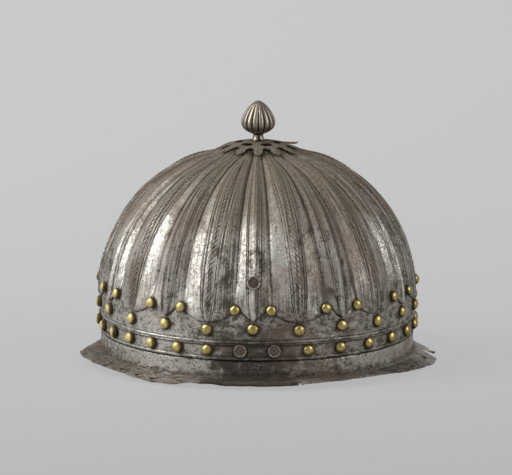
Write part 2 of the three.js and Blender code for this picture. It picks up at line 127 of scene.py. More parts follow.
class FinishSettings(bpy.types.PropertyGroup):
    bright_iron: colour("Bright iron", "Iron that is worn clean", 0.68, 0.645, 0.595)
    dull_iron: colour("Dull iron", "Iron under its patina", 0.19, 0.17, 0.14)
    tarnish: colour("Tarnish", "Dull brown film over the crown", 0.25, 0.21, 0.155)
    brown_iron: colour("Brown iron", "Iron with old rust", 0.22, 0.155, 0.11)
    # Soot also paints shade and shadow: round the rivets, under the rosette and under the flutes'
    # ends
    soot_and_painted_shade: colour("Soot", "Dirt in the grooves", 0.034, 0.024, 0.018)
    brass: colour("Brass", "Rubbed brass of the caps", 0.55, 0.44, 0.175)
    # Brass dirt also paints shade on the caps' edges and right sides, and a dark reflection down
    # their middle
    brass_dirt_and_painted_shade: colour("Brass dirt", "Dirt round the caps", 0.075, 0.05, 0.018)
    bud_brass: colour("Bud brass", "Silvery brass of the bud", 0.37, 0.32, 0.26)
    leather: colour("Leather", "Old leather of the strap", 0.09, 0.05, 0.03)
    thread: colour("Thread", "Linen thread left in the strap", 0.38, 0.31, 0.21)


class StageSettings(bpy.types.PropertyGroup):
    backdrop: colour("Backdrop", "The pale floor as the camera sees it", 0.53, 0.53, 0.53)
    elevation: number("Elevation", "Height of the camera as an angle", 9.7 * DEGREE, "ROTATION")
    distance: number("Distance", "From the camera to the skull", 2.5, "LENGTH")
    key_power: number("Key light", "Power of the lamp at the upper left", 42, "POWER")
    fill_power: number("Fill light", "Power of the lamp at the right", 21, "POWER")


class HelmetSettings(bpy.types.PropertyGroup):
    skull: PointerProperty(type=SkullSettings)
    brim: PointerProperty(type=BrimSettings)
    rivets: PointerProperty(type=RivetSettings)
    crown: PointerProperty(type=CrownSettings)
    lining: PointerProperty(type=LiningSettings)
    finish: PointerProperty(type=FinishSettings)
    stage: PointerProperty(type=StageSettings)


def settings():
    """The helmet's settings in this scene."""
    return bpy.context.scene.helmet


# Shapes as arrays


def around(radius, azimuth, height):
    """Points round an upright axis. Azimuth 0 faces the front, -Y, and grows towards +X."""
    x = radius * np.sin(azimuth)
    y = -radius * np.cos(azimuth)
    return np.stack(np.broadcast_arrays(x, y, height), axis=-1)


def leaned(points):
    """Turns points of the skull's own frame forward by the lean, and lifts them to the seat."""
    y = points[..., 1] * math.cos(LEAN) - points[..., 2] * math.sin(LEAN)
    z = points[..., 1] * math.sin(LEAN) + points[..., 2] * math.cos(LEAN)
    return np.stack([points[..., 0], y, z + settings().skull.seat_height], axis=-1)


WAVES = 24


def wander(points, size, seed):
    """Smooth unevenness of about -1 to 1: the sum of sine waves in random directions, whose
    lengths spread round the given size."""
    dice = np.random.default_rng(seed)
    directions = dice.normal(size=(WAVES, 3))
    directions /= np.linalg.norm(directions, axis=1, keepdims=True)
    lengths = size * dice.uniform(0.6, 1.7, WAVES)
    phases = dice.uniform(0, FULL_TURN, WAVES)
    turns = points.reshape(-1, 3) @ (directions * (FULL_TURN / lengths)[:, None]).T + phases
    return (np.sin(turns).sum(axis=1) * math.sqrt(2 / WAVES) / 2).reshape(points.shape[:-1])


def smooth_step(value, low, high):
    """0 below low and 1 above high, with the cubic 3t^2 - 2t^3 between."""
    share = np.clip((value - low) / (high - low), 0, 1)
    return share * share * (3 - 2 * share)


def spanned(value, begins, ends):
    """1 within a span and 0 outside: a smooth step up over where it begins, times one down."""
    return smooth_step(value, *begins) * (1 - smooth_step(value, *ends))


def tent(distance, half_width):
    """1 at no distance, falling in a straight line to 0 at the half width."""
    return np.maximum(1 - np.abs(distance) / half_width, 0)


def flowing(knots, shares):
    """A curve through the knots, as a cubic whose slope at each knot is that of the line between
    its neighbours. Shares run from 0 at the first knot to 1 at the last."""
    knots = np.asarray(knots, float)
    slopes = np.gradient(knots, axis=0)
    position = np.clip(shares, 0, 1) * (len(knots) - 1)
    first = np.minimum(position.astype(int), len(knots) - 2)
    t = (position - first)[:, None]
    start, end = knots[first], knots[first + 1]
    leave, arrive = slopes[first], slopes[first + 1]
    return (
        (2 * t**3 - 3 * t**2 + 1) * start
        + (t**3 - 2 * t**2 + t) * leave
        + (3 * t**2 - 2 * t**3) * end
        + (t**3 - t**2) * arrive
    )


def grid_faces(rows, columns, closed_rows=False):
    """Four-sided faces between neighbours of a grid whose rows are closed rings of columns. They
    face out where columns run anticlockwise as seen from above and rows run upwards."""
    row = np.arange(rows if closed_rows else rows - 1)[:, None]
    column = np.arange(columns)[None, :]
    row_after = (row + 1) % rows
    column_after = (column + 1) % columns
    corners = [
        row * columns + column,
        row * columns + column_after,
        row_after * columns + column_after,
        row_after * columns + column,
    ]
    return np.stack(corners, axis=-1).reshape(-1, 4)


def fan(ring, centre):
    """Triangles from a ring of point numbers to one point, in the ring's own turn."""
    return np.stack([ring, np.roll(ring, -1), np.full(len(ring), centre)], axis=-1)


def turned(profile, azimuths, ripple=None):
    """A body turned on the axis from (radius, height) rows between its two poles. Ripple scales
    each radius, as an array of rows by columns."""
    radii = profile[1:-1, 0][:, None] * (1 if ripple is None else ripple[1:-1])
    rings = around(radii, azimuths[None, :], profile[1:-1, 1][:, None])
    rows, columns = rings.shape[:2]
    poles = np.array([[0, 0, profile[0, 1]], [0, 0, profile[-1, 1]]])
    points = np.concatenate([rings.reshape(-1, 3), poles])
    last_ring = np.arange(columns) + (rows - 1) * columns
    caps = np.concatenate(
        [fan(np.arange(columns)[::-1], rows * columns), fan(last_ring, rows * columns + 1)]
    )
    return points, [grid_faces(rows, columns), caps]


def bored(profile, azimuths):
    """A ring turned from a closed loop of (radius, height), which runs up its outside."""
    points = around(profile[:, 0][:, None], azimuths[None, :], profile[:, 1][:, None])
    return points.reshape(-1, 3), [grid_faces(len(profile), len(azimuths), closed_rows=True)]


def even_azimuths(count, start=0.0):
    """Azimuths from the start, a full turn over the count apart."""
    return start + np.arange(count) * FULL_TURN / count


def point_normals(points, faces):
    """The mean direction of the faces at each point, weighed by their areas."""
    corners = points[faces]
    across = np.cross(corners[:, 2] - corners[:, 0], corners[:, -1] - corners[:, 1])
    normals = np.zeros_like(points)
    for corner in range(faces.shape[1]):
        np.add.at(normals, faces[:, corner], across)
    return normals / np.maximum(np.linalg.norm(normals, axis=1, keepdims=True), TINY)


def thickened(points, faces, thickness):
    """Closes a sheet: a second face is set back along the normals, and walls join the borders.
    A border side is one that only one face has. Gives the points, the faces, and which front
    point each point stands on."""
    used = np.unique(faces)
    renumber = np.full(len(points), -1)
    renumber[used] = np.arange(len(used))
    front = renumber[faces]
    points = points[used]
    back_points = points - point_normals(points, front) * thickness
    count = len(points)
    sides = np.stack([front, np.roll(front, -1, axis=1)], axis=-1).reshape(-1, 2)
    keys = sides.min(axis=1) * count + sides.max(axis=1)
    _, which, times = np.unique(keys, return_inverse=True, return_counts=True)
    start, end = sides[times[which] == 1].T
    walls = np.stack([end, start, start + count, end + count], axis=-1)
    body = [front, front[:, ::-1] + count, walls]
    return np.concatenate([points, back_points]), body, np.concatenate([used, used])


def azimuth_of(points):
    """The azimuth that around() would take for each point."""
    return np.arctan2(points[..., 0], -points[..., 1])


def wrapped(angle):
    """The same angle between minus and plus half a turn."""
    return np.angle(np.exp(1j * angle))


def new_object(name, data):
    """An object of its own for the data, linked to the scene."""
    thing = bpy.data.objects.new(name, data)
    bpy.context.scene.collection.objects.link(thing)
    return thing


def add_piece(name, points, face_groups, finish, replaces=(), masks=None, sharp=None):
    """Makes a piece of the helmet from arrays and lets it ride on the one body. Masks are values
    at the points that its finish reads, and sides sharper than the angle stay crisp."""
    mesh = bpy.data.meshes.new(name)
    mesh.vertices.add(len(points))
    mesh.vertices.foreach_set("co", np.ascontiguousarray(points, np.float32).ravel())
    corners = np.concatenate([faces.ravel() for faces in face_groups]).astype(np.int32)
    sizes = np.concatenate([np.full(len(faces), faces.shape[1]) for faces in face_groups])
    mesh.loops.add(len(corners))
    mesh.loops.foreach_set("vertex_index", corners)
    mesh.polygons.add(len(sizes))
    starts = np.concatenate([[0], np.cumsum(sizes)[:-1]]).astype(np.int32)
    mesh.polygons.foreach_set("loop_start", starts)
    mesh.update(calc_edges=True)
    mesh.validate()
    mesh.shade_smooth()
    if sharp:
        mesh.set_sharp_from_angle(angle=sharp)
    for mask, values in (masks or {}).items():
        kind = "FLOAT" if values.ndim == 1 else "FLOAT_VECTOR"
        attribute = mesh.attributes.new(mask, kind, "POINT")
        field = "value" if values.ndim == 1 else "vector"
        attribute.data.foreach_set(field, np.ascontiguousarray(values, np.float32).ravel())
    mesh.materials.append(finish_named(finish))
    piece = new_object(name, mesh)
    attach(piece, "root")
    if replaces:
        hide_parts(*replaces)


# The skull's form

LEAN = 2.5 * DEGREE
CROWN_SIDE_POWER = 0.83
CROWN_TOP_POWER = 1.11
WIDE_SHARE = 0.612
FRONT_FLUTE_TURN = -1.4 * DEGREE
WIDE_TIP_HEIGHT = 25.4 * MM
NARROW_TIP_HEIGHT = 26.5 * MM
CUSP_HEIGHT = 38 * MM
POINTED_TIP_POWER = 1.3
FULLNESS_POWER = 1.5
FADE_POWER = 0.7
PLAIN_CROWN_RADIUS = 10 * MM
BORE_RADIUS = 2.75 * MM
# Shares of half the flute's width that the ridge, the crease and their lips never pass
MOST_RIDGE = 0.26
MOST_CREASE = 0.12
MOST_LINE_LIP = 0.045
MOST_CREASE_LIP = 0.1
CREASE_HALF_WIDTH = 1.2 * MM
LINE_LIP = 0.42 * MM
CREASE_LIP = 0.8 * MM
# Where columns stand over the shoulder, from the outer line to the crease
SHOULDER_SHARES = (0.2, 0.42, 0.64, 0.83)
# How far above the tip the ridge and the lines spread out
TIP_SPREAD = 9 * MM
# How far above the flute's end the crease reaches its full depth, and how deep its line is cut
CREASE_RUN = 12 * MM
CREASE_CUT = 0.45 * MM
# Chased lines: distance from the ridge in millimetres, on wide and narrow flutes, and most share
INNER_LINE = (4.1, 3.7, 0.38)
OUTER_LINE = (6.0, 5.0, 0.52)
# A wide flute swells a little beside its rope
ROPE_SWELLING = 0.35 * MM
# Heights over which the chased lines grow shallow, and over which the creases' dirt grows strong
LINES_FADE = (96 * MM, 122 * MM)
CREASES_DARKEN = (72 * MM, 104 * MM)
# Rounds in which the heights of the flutes' ends settle
END_ROUNDS = 12


def climb_at(height):
    """The angle that carries the crown's curve up to a height: its sine is the height's share of
    the crown's rise, to the power 1 over 1.11."""
    skull = settings().skull
    share = np.clip((height - skull.wall_height) / skull.crown_rise, 0, 1)
    return np.arcsin(share ** (1 / CROWN_TOP_POWER))


def climb_at_radius(radius):
    """The same angle for a radius: its cosine is the radius' share of the skull's, to the power 1
    over 0.83."""
    return np.arccos((radius / settings().skull.radius) ** (1 / CROWN_SIDE_POWER))


def side_view(height, climb):
    """The plain skull seen from the side: radius = R cos(climb)^0.83 and height = wall + rise
    sin(climb)^1.11. At no climb it is the straight wall. Gives the radius, the height, and how
    far the surface there faces out and up."""
    skull = settings().skull
    sine = np.maximum(np.sin(climb), TINY)
    cosine = np.maximum(np.cos(climb), TINY)
    outward = skull.crown_rise * CROWN_TOP_POWER * sine ** (CROWN_TOP_POWER - 1) * cosine
    upward = skull.radius * CROWN_SIDE_POWER * cosine ** (CROWN_SIDE_POWER - 1) * sine
    size = np.hypot(outward, upward)
    risen = skull.wall_height + skull.crown_rise * sine**CROWN_TOP_POWER
    level = np.where(climb > 0, risen, height)
    return skull.radius * cosine**CROWN_SIDE_POWER, level, outward / size, upward / size


def skull_points(azimuth, height, climb, offset):
    """Points at an offset from the plain skull, along the way that it faces."""
    radius, level, outward, upward = side_view(height, climb)
    return around(radius + offset * outward, azimuth, level + offset * upward)


def relief_fade(radius):
    """The flutes' relief grows from the plain crown to the wall as the distance to the 0.7."""
    share = (radius - PLAIN_CROWN_RADIUS) / (settings().skull.radius - PLAIN_CROWN_RADIUS)
    return np.maximum(share, 0) ** FADE_POWER


def flutes():
    """Each flute's middle, half its turn and whether it is wide, the narrow front one first."""
    pairs = settings().skull.flute_pairs
    pair_turn = FULL_TURN / pairs
    narrow = FRONT_FLUTE_TURN + np.arange(pairs) * pair_turn
    middles = np.stack([narrow, narrow + pair_turn / 2], axis=-1).ravel()
    wide = np.tile([False, True], pairs)
    halves = np.where(wide, WIDE_SHARE, 1 - WIDE_SHARE) * pair_turn / 2
    return middles, halves, wide


def tip_height(wide):
    """The height of a flute's lowest point over the skull's edge."""
    return np.where(wide, WIDE_TIP_HEIGHT, NARROW_TIP_HEIGHT)


def end_height(across, wide):
    """The flute's lower end: a half circle's rise on a wide flute, and |across|^1.3 on a narrow
    one, from the tip's height up to the cusp's."""
    across = np.clip(np.abs(across), 0, 1)
    rise = np.where(wide, 1 - np.sqrt(1 - across**2), across**POINTED_TIP_POWER)
    return tip_height(wide) + (CUSP_HEIGHT - tip_height(wide)) * rise


def station_places(half_width, above_tip, wide):
    """Where the mesh's columns stand across half a flute: on the ridge, on both chased lines and
    on their lips, then over the shoulder to the crease. The lines keep their distance from the
    middle, close in on the flute's tip, as 1 - exp of the distance from it, and never take more
    than their share of a narrowing flute. Gives the columns, both lines and their lip's width."""
    skull = settings().skull
    taper = 0.3 + 0.7 * (1 - np.exp(-above_tip / TIP_SPREAD))

    def chased(on_wide, on_narrow, most_share):
        distance = np.where(wide, on_wide, on_narrow) * MM
        return np.minimum(distance, most_share * half_width) * taper

    ridge = np.minimum(skull.ridge_half_width, MOST_RIDGE * half_width) * taper
    inner_line, outer_line = chased(*INNER_LINE), chased(*OUTER_LINE)
    lip = np.minimum(LINE_LIP, MOST_LINE_LIP * half_width) * (0.5 + 0.5 * taper)
    shoulder_start = outer_line + lip
    shoulder = half_width - shoulder_start
    crease_lip = half_width - np.minimum(CREASE_LIP, MOST_CREASE_LIP * half_width)
    places = [0 * ridge, 0.5 * ridge, ridge]
    places += [inner_line - lip, inner_line, inner_line + lip]
    places += [outer_line - lip, outer_line, shoulder_start]
    places += [shoulder_start + shoulder * share for share in SHOULDER_SHARES]
    places += [crease_lip, half_width]
    return places, inner_line, outer_line, lip


STATIONS = 15


class FluteGrid:
    """The columns of the skull's mesh. They run round from crease to crease, and each has a
    station, 0 on the ridge and 14 in the crease, and a side."""

    def __init__(self):
        middles, halves, wide = flutes()
        signed = np.concatenate([np.arange(1 - STATIONS, 0), np.arange(0, STATIONS - 1)])
        self.station = np.tile(np.abs(signed), len(middles))
        self.side = np.tile(np.where(signed < 0, -1.0, 1.0), len(middles))
        self.middle = np.repeat(middles, len(signed))
        self.half = np.repeat(halves, len(signed))
        self.wide = np.repeat(wide, len(signed))
        self.count = len(self.station)
        self.end = tip_height(self.wide)
        for _ in range(END_ROUNDS):
            across = self.across(np.full(self.count, settings().skull.radius), self.end)
            self.end = 0.5 * self.end + 0.5 * end_height(across, self.wide)
        self.foot_azimuth = self.azimuth(across)

    def across(self, radius, height):
        """Each column's distance from the ridge, as a share of half the flute's width."""
        half_width = radius * self.half
        above_tip = np.maximum(height - tip_height(self.wide), 0)
        places, *_ = station_places(half_width, above_tip, self.wide)
        return np.choose(self.station, places) / np.maximum(half_width, TINY)

    def azimuth(self, across):
        """Each column's azimuth: its flute's middle and its share of half the flute's turn."""
        return self.middle + self.side * across * self.half

    def relief(self, radius, height, across, outside=True):
        """How far the sheet stands out from the plain skull: a bulge that falls from the middle
        to the creases as |across|^1.5, a ridge on a narrow flute, chased lines and a sharp
        crease. Also gives how deep in a groove and how high on a ridge each point is."""
        skull = settings().skull
        half_width = radius * self.half
        above_tip = np.maximum(height - tip_height(self.wide), 0)
        _, inner_line, outer_line, lip = station_places(half_width, above_tip, self.wide)
        fade = relief_fade(radius)
        fall = np.abs(across) ** FULLNESS_POWER
        deepening = np.clip((height - self.end) / CREASE_RUN, 0, 1)
        body = skull.flute_proud * (1 - fall) - skull.crease_depth * deepening * fall
        if not outside:
            return fade * body, None, None
        distance = across * half_width
        ridge_width = np.minimum(skull.ridge_half_width, MOST_RIDGE * half_width)
        ridge = tent(distance, ridge_width) * ~self.wide
        lines = np.maximum(tent(distance - inner_line, lip), tent(distance - outer_line, lip))
        crease_width = np.minimum(CREASE_HALF_WIDTH, MOST_CREASE * half_width)
        crease = tent(half_width - distance, crease_width)
        beside_rope = np.sin(np.pi * np.clip(distance / inner_line, 0, 1)) * self.wide
        lines = lines * (1 - 0.65 * smooth_step(height, *LINES_FADE))
        offset = fade * (body + skull.ridge_height * ridge + ROPE_SWELLING * beside_rope)
        offset = offset - skull.line_depth * lines - CREASE_CUT * crease * deepening
        shown = 0.62 + 0.38 * smooth_step(height, *CREASES_DARKEN)
        groove = np.clip(lines * 0.85 + crease * (0.35 + 0.65 * deepening) * shown, 0, 1)
        return offset, groove, ridge


# Rows up the skull's straight wall: height, offset, dirt and wear, all heights in millimetres
WALL_ROWS = np.array([
    (0.0, -0.4, 0.6, 0.0), (0.15, -0.1, 0.25, 0.0), (0.5, 0.05, 0.1, 0.0), (1.05, 0.12, 0.0, 0.3),
    (1.5, 0.08, 0.0, 0.1), (1.9, -0.1, 0.4, 0.0), (2.15, -0.38, 0.8, 0.0), (2.6, -0.42, 0.3, 0.0),
    (4.2, -0.4, 0.1, 0.0), (6.1, -0.4, 0.0, 0.0), (8.0, -0.4, 0.1, 0.0), (9.3, -0.45, 0.4, 0.0),
    (9.75, -0.35, 0.9, 0.0), (10.0, 0.0, 0.4, 0.0), (10.4, 0.14, 0.1, 0.1),
    (10.75, 0.05, 0.3, 0.0), (11.0, -0.12, 0.7, 0.0), (11.3, 0.2, 0.1, 0.2),
    (11.8, 0.5, 0.0, 0.7), (12.4, 0.48, 0.0, 0.8), (12.9, 0.2, 0.3, 0.3),
    (13.15, -0.15, 0.7, 0.0), (13.5, 0.1, 0.2, 0.1), (14.3, 0.0, 0.0, 0.0),
])  # fmt: skip
# Rows of the step at the flutes' ends: depth under the end and offset in millimetres, and dirt
# that paints the shadow under the step
STEP_ROWS = ((1.3, 0.0, 0.0), (0.8, -0.1, 0.25), (0.35, -0.35, 0.65), (0.0, -0.42, 0.8))
PLAIN_BAND_ROWS = 8
CROWN_ROWS = 80
HUB_ROWS = 3
INNER_ROWS = 26
# Where the crown starts over the step, and how much each row rises on the straight wall
CROWN_START = 0.25 * MM
ROW_RISE = 0.6 * MM
CROWN_THICKENING = 3.9 * MM
INNER_WALL_HEIGHTS = (14 * MM, 6 * MM, 0.15 * MM)
# Radii between which the painted shade under the rosette ends
ROSETTE_SHADE_ENDS = (21 * MM, 29 * MM)


def crown_thickening(radius):
    """The sheet is thicker under the rosette, where the crown comes to its top: by 3.9 mm times
    1 - (r/R)^3, with the rosette's radius R."""
    return CROWN_THICKENING * np.maximum(1 - (radius / settings().crown.rosette_radius) ** 3, 0)


def painted_shade_under_rosette(radius):
    """Painted shade under the rosette's shelter: 0.8, and none beyond its leaves."""
    return 0.8 * (1 - smooth_step(radius, *ROSETTE_SHADE_ENDS))


def skull_shell():
    """The whole skull as one closed sheet. Rows run up the outside over the mouldings, the plain
    band, the step at the flutes' ends and the crown, through the finial's hole, and down the
    inside. Gives the rows of points and the masks for its finish."""
    grid = FluteGrid()
    skull = settings().skull
    rows, grooves, wears, insides = [], [], [], []

    def add_row(azimuth, height, climb, offset, groove, wear, inside=0.0):
        rows.append(skull_points(azimuth, height, climb, offset))
        for values, value in ((grooves, groove), (wears, wear), (insides, inside)):
            values.append(np.broadcast_to(value, grid.count).astype(float))

    ring = around(skull.radius, grid.foot_azimuth, 0.0)
    wobble = 0.3 * wander(ring, 45 * MM, seed=9)
    faded = 0.5 + 0.5 * wander(ring, 16 * MM, seed=10)
    for height, offset, dirt, wear in WALL_ROWS:
        shift = wobble * smooth_step(height, 3, 10)
        add_row(grid.foot_azimuth, (height + shift) * MM, 0.0, offset * MM, dirt, wear * faded)
    band_top = WALL_ROWS[-1, 0] * MM
    for share in np.arange(1, PLAIN_BAND_ROWS) / PLAIN_BAND_ROWS:
        height = band_top + (grid.end - STEP_ROWS[0][0] * MM - band_top) * share
        add_row(grid.foot_azimuth, height, climb_at(height), 0.0, 0.0, 0.0)
    # The step rows' dirt is painted shadow under the flutes' ends
    for below, dip, dirt in STEP_ROWS:
        height = grid.end - below * MM
        shown = dirt * np.clip(0.5 + faded, 0, 1)
        add_row(grid.foot_azimuth, height, climb_at(height), dip * MM, shown, 0.0)
    top_climb = climb_at_radius(PLAIN_CROWN_RADIUS)
    start_height = grid.end + CROWN_START
    start_climb = climb_at(start_height)
    for row in range(CROWN_ROWS + 1):
        climb = start_climb + (top_climb - start_climb) * row / CROWN_ROWS
        risen = start_height + ROW_RISE * row
        radius, level, _, _ = side_view(np.minimum(risen, skull.wall_height), climb)
        across = grid.across(radius, level)
        offset, groove, ridge = grid.relief(radius, level, across)
        offset = offset + crown_thickening(radius)
        # The crown's first row gets 0.45 of painted shadow along the flutes' edge
        if row == 0:
            offset, groove = 0.7 * offset, np.full(grid.count, 0.45)
        azimuth = grid.azimuth(across)
        groove = np.maximum(groove, painted_shade_under_rosette(radius))
        add_row(azimuth, level, climb, offset, groove, ridge)
    bore_climb = climb_at_radius(BORE_RADIUS)
    # The hub rows under the rosette are darkened by 0.8, painted shade like the crown's under the
    # rosette
    for row in range(1, HUB_ROWS + 1):
        climb = top_climb + (bore_climb - top_climb) * row / HUB_ROWS
        thickening = crown_thickening(side_view(0.0, climb)[0])
        add_row(azimuth, 0.0, climb, thickening, 0.8, 0.0)
    add_row(azimuth, 0.0, bore_climb, -skull.sheet, 0.2, 0.0, 1.0)
    for row in range(INNER_ROWS + 1):
        climb = top_climb * (1 - row / INNER_ROWS) + climb_at(CUSP_HEIGHT) * row / INNER_ROWS
        radius, level, _, _ = side_view(0.0, climb)
        across = grid.across(radius, level)
        offset, _, _ = grid.relief(radius, level, across, outside=False)
        azimuth = grid.azimuth(across)
        add_row(azimuth, level, climb, offset - skull.sheet, 0.15 * across**6, 0.0, 1.0)
    for height in (skull.wall_height, *INNER_WALL_HEIGHTS):
        add_row(grid.foot_azimuth, height, 0.0, -skull.sheet, 0.1, 0.0, 1.0)
    points = np.stack(rows)
    inside = np.stack(insides)
    masks = {
        "groove": np.maximum(np.stack(grooves), painted_shadow_round_rivets(points) * (1 - inside)),
        "wear": np.stack(wears),
        "inside": inside,
        "rub": face_rub_and_painted_light(grid, len(rows)) * (1 - inside),
        "brown": dark_spots(points),
    }
    return points, masks


# How well the front flutes are rubbed, left and right of the ridge, by their places in flutes()
RUBBED_FACES = {
    0: (1.0, -0.5), 1: (1.6, 0.4), 2: (0.9, 0.9), 3: (0.9, 0.5), 4: (0.6, 0.7), 17: (0.4, 0.3),
    18: (0.2, 0.9), 19: (0.7, 1.2), 20: (0.9, 0.1), 21: (1.0, -0.6),
}  # fmt: skip
# Dark spots on the front: azimuth in degrees, height and radius in millimetres
DARK_SPOTS = (  # the first 13 make the hooked stain over the plug
    (-2.0, 69.5, 2.2), (-2.1, 67, 2.2), (-2.1, 64.5, 2.2), (-2.0, 62, 2.1), (-1.9, 59.5, 2.1),
    (-1.9, 57, 2.0), (-1.0, 71, 2.2), (0.2, 71, 2.2), (1.3, 70, 2.1), (2.0, 66, 2.2),
    (2.3, 63.5, 2.7), (2.2, 60.5, 2.6), (1.8, 58, 2.2), (-17.1, 70, 3.2), (-12.1, 53.6, 2.4),
    (-9.8, 51, 1.8), (-9.5, 38, 4.0), (17.2, 76, 2.6), (31.7, 67, 2.2), (34.1, 62, 2.0),
    (27.1, 44, 3.0), (23.2, 83.4, 3.0), (16.0, 58, 3.2),
)  # fmt: skip


def face_rub_and_painted_light(grid, rows):
    """How rubbed each column is, with painted light: full over the plain part of a flute's face,
    darker with painted shade towards the lower ends on the right, and on the band below the flutes
    a painted highlight, most at the left front, as a bell curve round azimuth -40."""
    columns = 2 * STATIONS - 2
    flute = np.arange(grid.count) // columns
    sides = np.array([RUBBED_FACES.get(index, (0, 0)) for index in range(grid.count // columns)])
    value = np.where(grid.side < 0, sides[flute, 0], sides[flute, 1])
    plain_part = smooth_step(grid.station, 6, 9)
    below_crown = len(WALL_ROWS) + PLAIN_BAND_ROWS - 1 + len(STEP_ROWS)
    crown_row = np.arange(rows)[:, None] - below_crown
    turned_to = wrapped(grid.foot_azimuth) / DEGREE
    # A painted highlight on the band where the light falls at the left front
    band = 1.3 * np.exp(-(((turned_to + 40) / 20) ** 2)) - 0.2
    # Painted shade at the flutes' lower ends on the right
    painted_shade_low_right = (turned_to > 5) * (1 - smooth_step(crown_row, 4, 18))
    face = (value * (1 - painted_shade_low_right) - 0.5 * painted_shade_low_right) * plain_part
    return np.where(crown_row >= 0, face, band)


def dark_spots(points):
    """Brown-black spots with ragged edges: 0.75 inside 0.3 of the radius and 0 beyond 1.4."""
    ragged = 1 + 0.5 * wander(points, 4 * MM, seed=8)
    depth = np.zeros(points.shape[:-1])
    for azimuth, height, radius in DARK_SPOTS:
        seat = skull_points(azimuth * DEGREE, height * MM, climb_at(height * MM), 0.0)
        gap = np.linalg.norm(points - seat, axis=-1) * ragged
        fading = smooth_step(gap, 0.3 * radius * MM, 1.4 * radius * MM)
        depth = np.maximum(depth, 0.75 - 0.75 * fading)
    return depth


RIVET_SHADOW_DROP = 0.4 * MM
RIVET_SHADOW_FADES = (0.1 * MM, 1.8 * MM)


def painted_shadow_round_rivets(points):
    """Painted shadow on the sheet round each rivet's head, to 1.8 mm beyond it, a little more on
    its lower side."""
    dirt = np.zeros(points.shape[:-1])
    for azimuth, height, radius in rivet_seats():
        seat = skull_points(azimuth, height, climb_at(height), 0.0) - (0, 0, RIVET_SHADOW_DROP)
        gap = np.linalg.norm(points - seat, axis=-1) - radius
        dirt = np.maximum(dirt, 0.65 * (1 - smooth_step(gap, *RIVET_SHADOW_FADES)))
    return dirt


def rivet_seats():
    """Azimuth, height and head radius of every rivet, on the plain skull."""
    rivets = settings().rivets
    middles, halves, wide = flutes()
    seats = [(azimuth, BAND_HEIGHT, rivets.band_radius) for azimuth in band_azimuths()]
    tips = zip(middles, tip_height(wide) - TIP_RIVET_DROP)
    seats += [(azimuth, height, rivets.tip_radius) for azimuth, height in tips]
    seats += [(azimuth, VALLEY_HEIGHT, rivets.valley_radius) for azimuth in middles + halves]
    return seats + [(FRONT_FLUTE_TURN, PLUG_HEIGHT, rivets.plug_radius)]


HEAD_MIDDLE = 30 * MM
SWELL = 0.32 * MM
DENT = 0.1 * MM


def hammered(points, inside):
    """Lets the sheet wander off its true form as hand work does: long swells of a third of a
    millimetre and short dents of a tenth, along a line from the middle of the head, and half as
    much inside."""
    outward = points - (0, 0, HEAD_MIDDLE)
    outward /= np.linalg.norm(outward, axis=-1, keepdims=True)
    swell = SWELL * wander(points, 55 * MM, seed=3) + DENT * wander(points, 14 * MM, seed=4)
    return points + outward * (swell * (1 - 0.5 * inside))[..., None]


def flow_coordinates(points):
    """Coordinates in which brush marks run up the helmet: the way round on a circle of the
    skull's radius, and the distance from the crown as the third number."""
    radius = np.hypot(points[..., 0], points[..., 1])
    ring = points[..., :2] / np.maximum(radius, TINY)[..., None] * settings().skull.radius
    slant = np.hypot(radius, points[..., 2])
    return np.concatenate([ring, slant[..., None]], axis=-1)


# Where the front stain begins and ends, in degrees, and the heights over which it fades
STAIN_BEGINS = (-19, -13)
STAIN_ENDS = (7, 17)
STAIN_FADES = (22 * MM, 50 * MM)
# Heights over which the tarnish thickens, and how far to the left it grows thin
TARNISH_THICKENS = (84 * MM, 128 * MM)
TARNISH_THINS = (20 * MM, 75 * MM)


def front_stain(points):
    """The black stain at the front: full between azimuths -13 and 7 degrees low down, with an
    uneven border, and gone 50 mm above the table."""
    ragged = azimuth_of(points) / DEGREE + 5 * wander(points, 9 * MM, seed=5)
    across = spanned(ragged, STAIN_BEGINS, STAIN_ENDS)
    height = points[..., 2] + 4 * MM * wander(points, 8 * MM, seed=6)
    return across * (1 - smooth_step(height, *STAIN_FADES))


def crown_tarnish(points):
    """Brown tarnish that gathers towards the top of the crown, by up to 0.7 less on the left."""
    height = points[..., 2] + 8 * MM * wander(points, 40 * MM, seed=7)
    less = 0.7 * smooth_step(-points[..., 0], *TARNISH_THINS)
    return smooth_step(height, *TARNISH_THICKENS) * (1 - less)


def iron_masks(points, groove=0.0, wear=0.0, inside=0.0, rub=0.0, brown=0.0):
    """The values that the iron finish reads, flat, one for each point."""
    shape = points.shape[:-1]
    masks = {"groove": groove, "wear": wear, "inside": inside, "rub": rub, "brown": brown}
    masks = {name: np.broadcast_to(value, shape).ravel() for name, value in masks.items()}
    masks["flow"] = flow_coordinates(points).reshape(-1, 3)
    masks["stain"] = front_stain(points).ravel()
    masks["tarnish"] = crown_tarnish(points).ravel()
    return masks


# Finishes


class Wire:
    """A value in a material's node tree. Arithmetic on it adds Math nodes, so 1 - mask works."""

    def __init__(self, finish, socket):
        self.finish = finish
        self.socket = socket

    def _math(self, operation, first, second):
        return self.finish.node("ShaderNodeMath", {"operation": operation}, {0: first, 1: second})

    def __add__(self, other):
        return self._math("ADD", self, other)

    def __sub__(self, other):
        return self._math("SUBTRACT", self, other)

    def __rsub__(self, other):
        return self._math("SUBTRACT", other, self)

    def __mul__(self, other):
        return self._math("MULTIPLY", self, other)

    __radd__ = __add__
    __rmul__ = __mul__


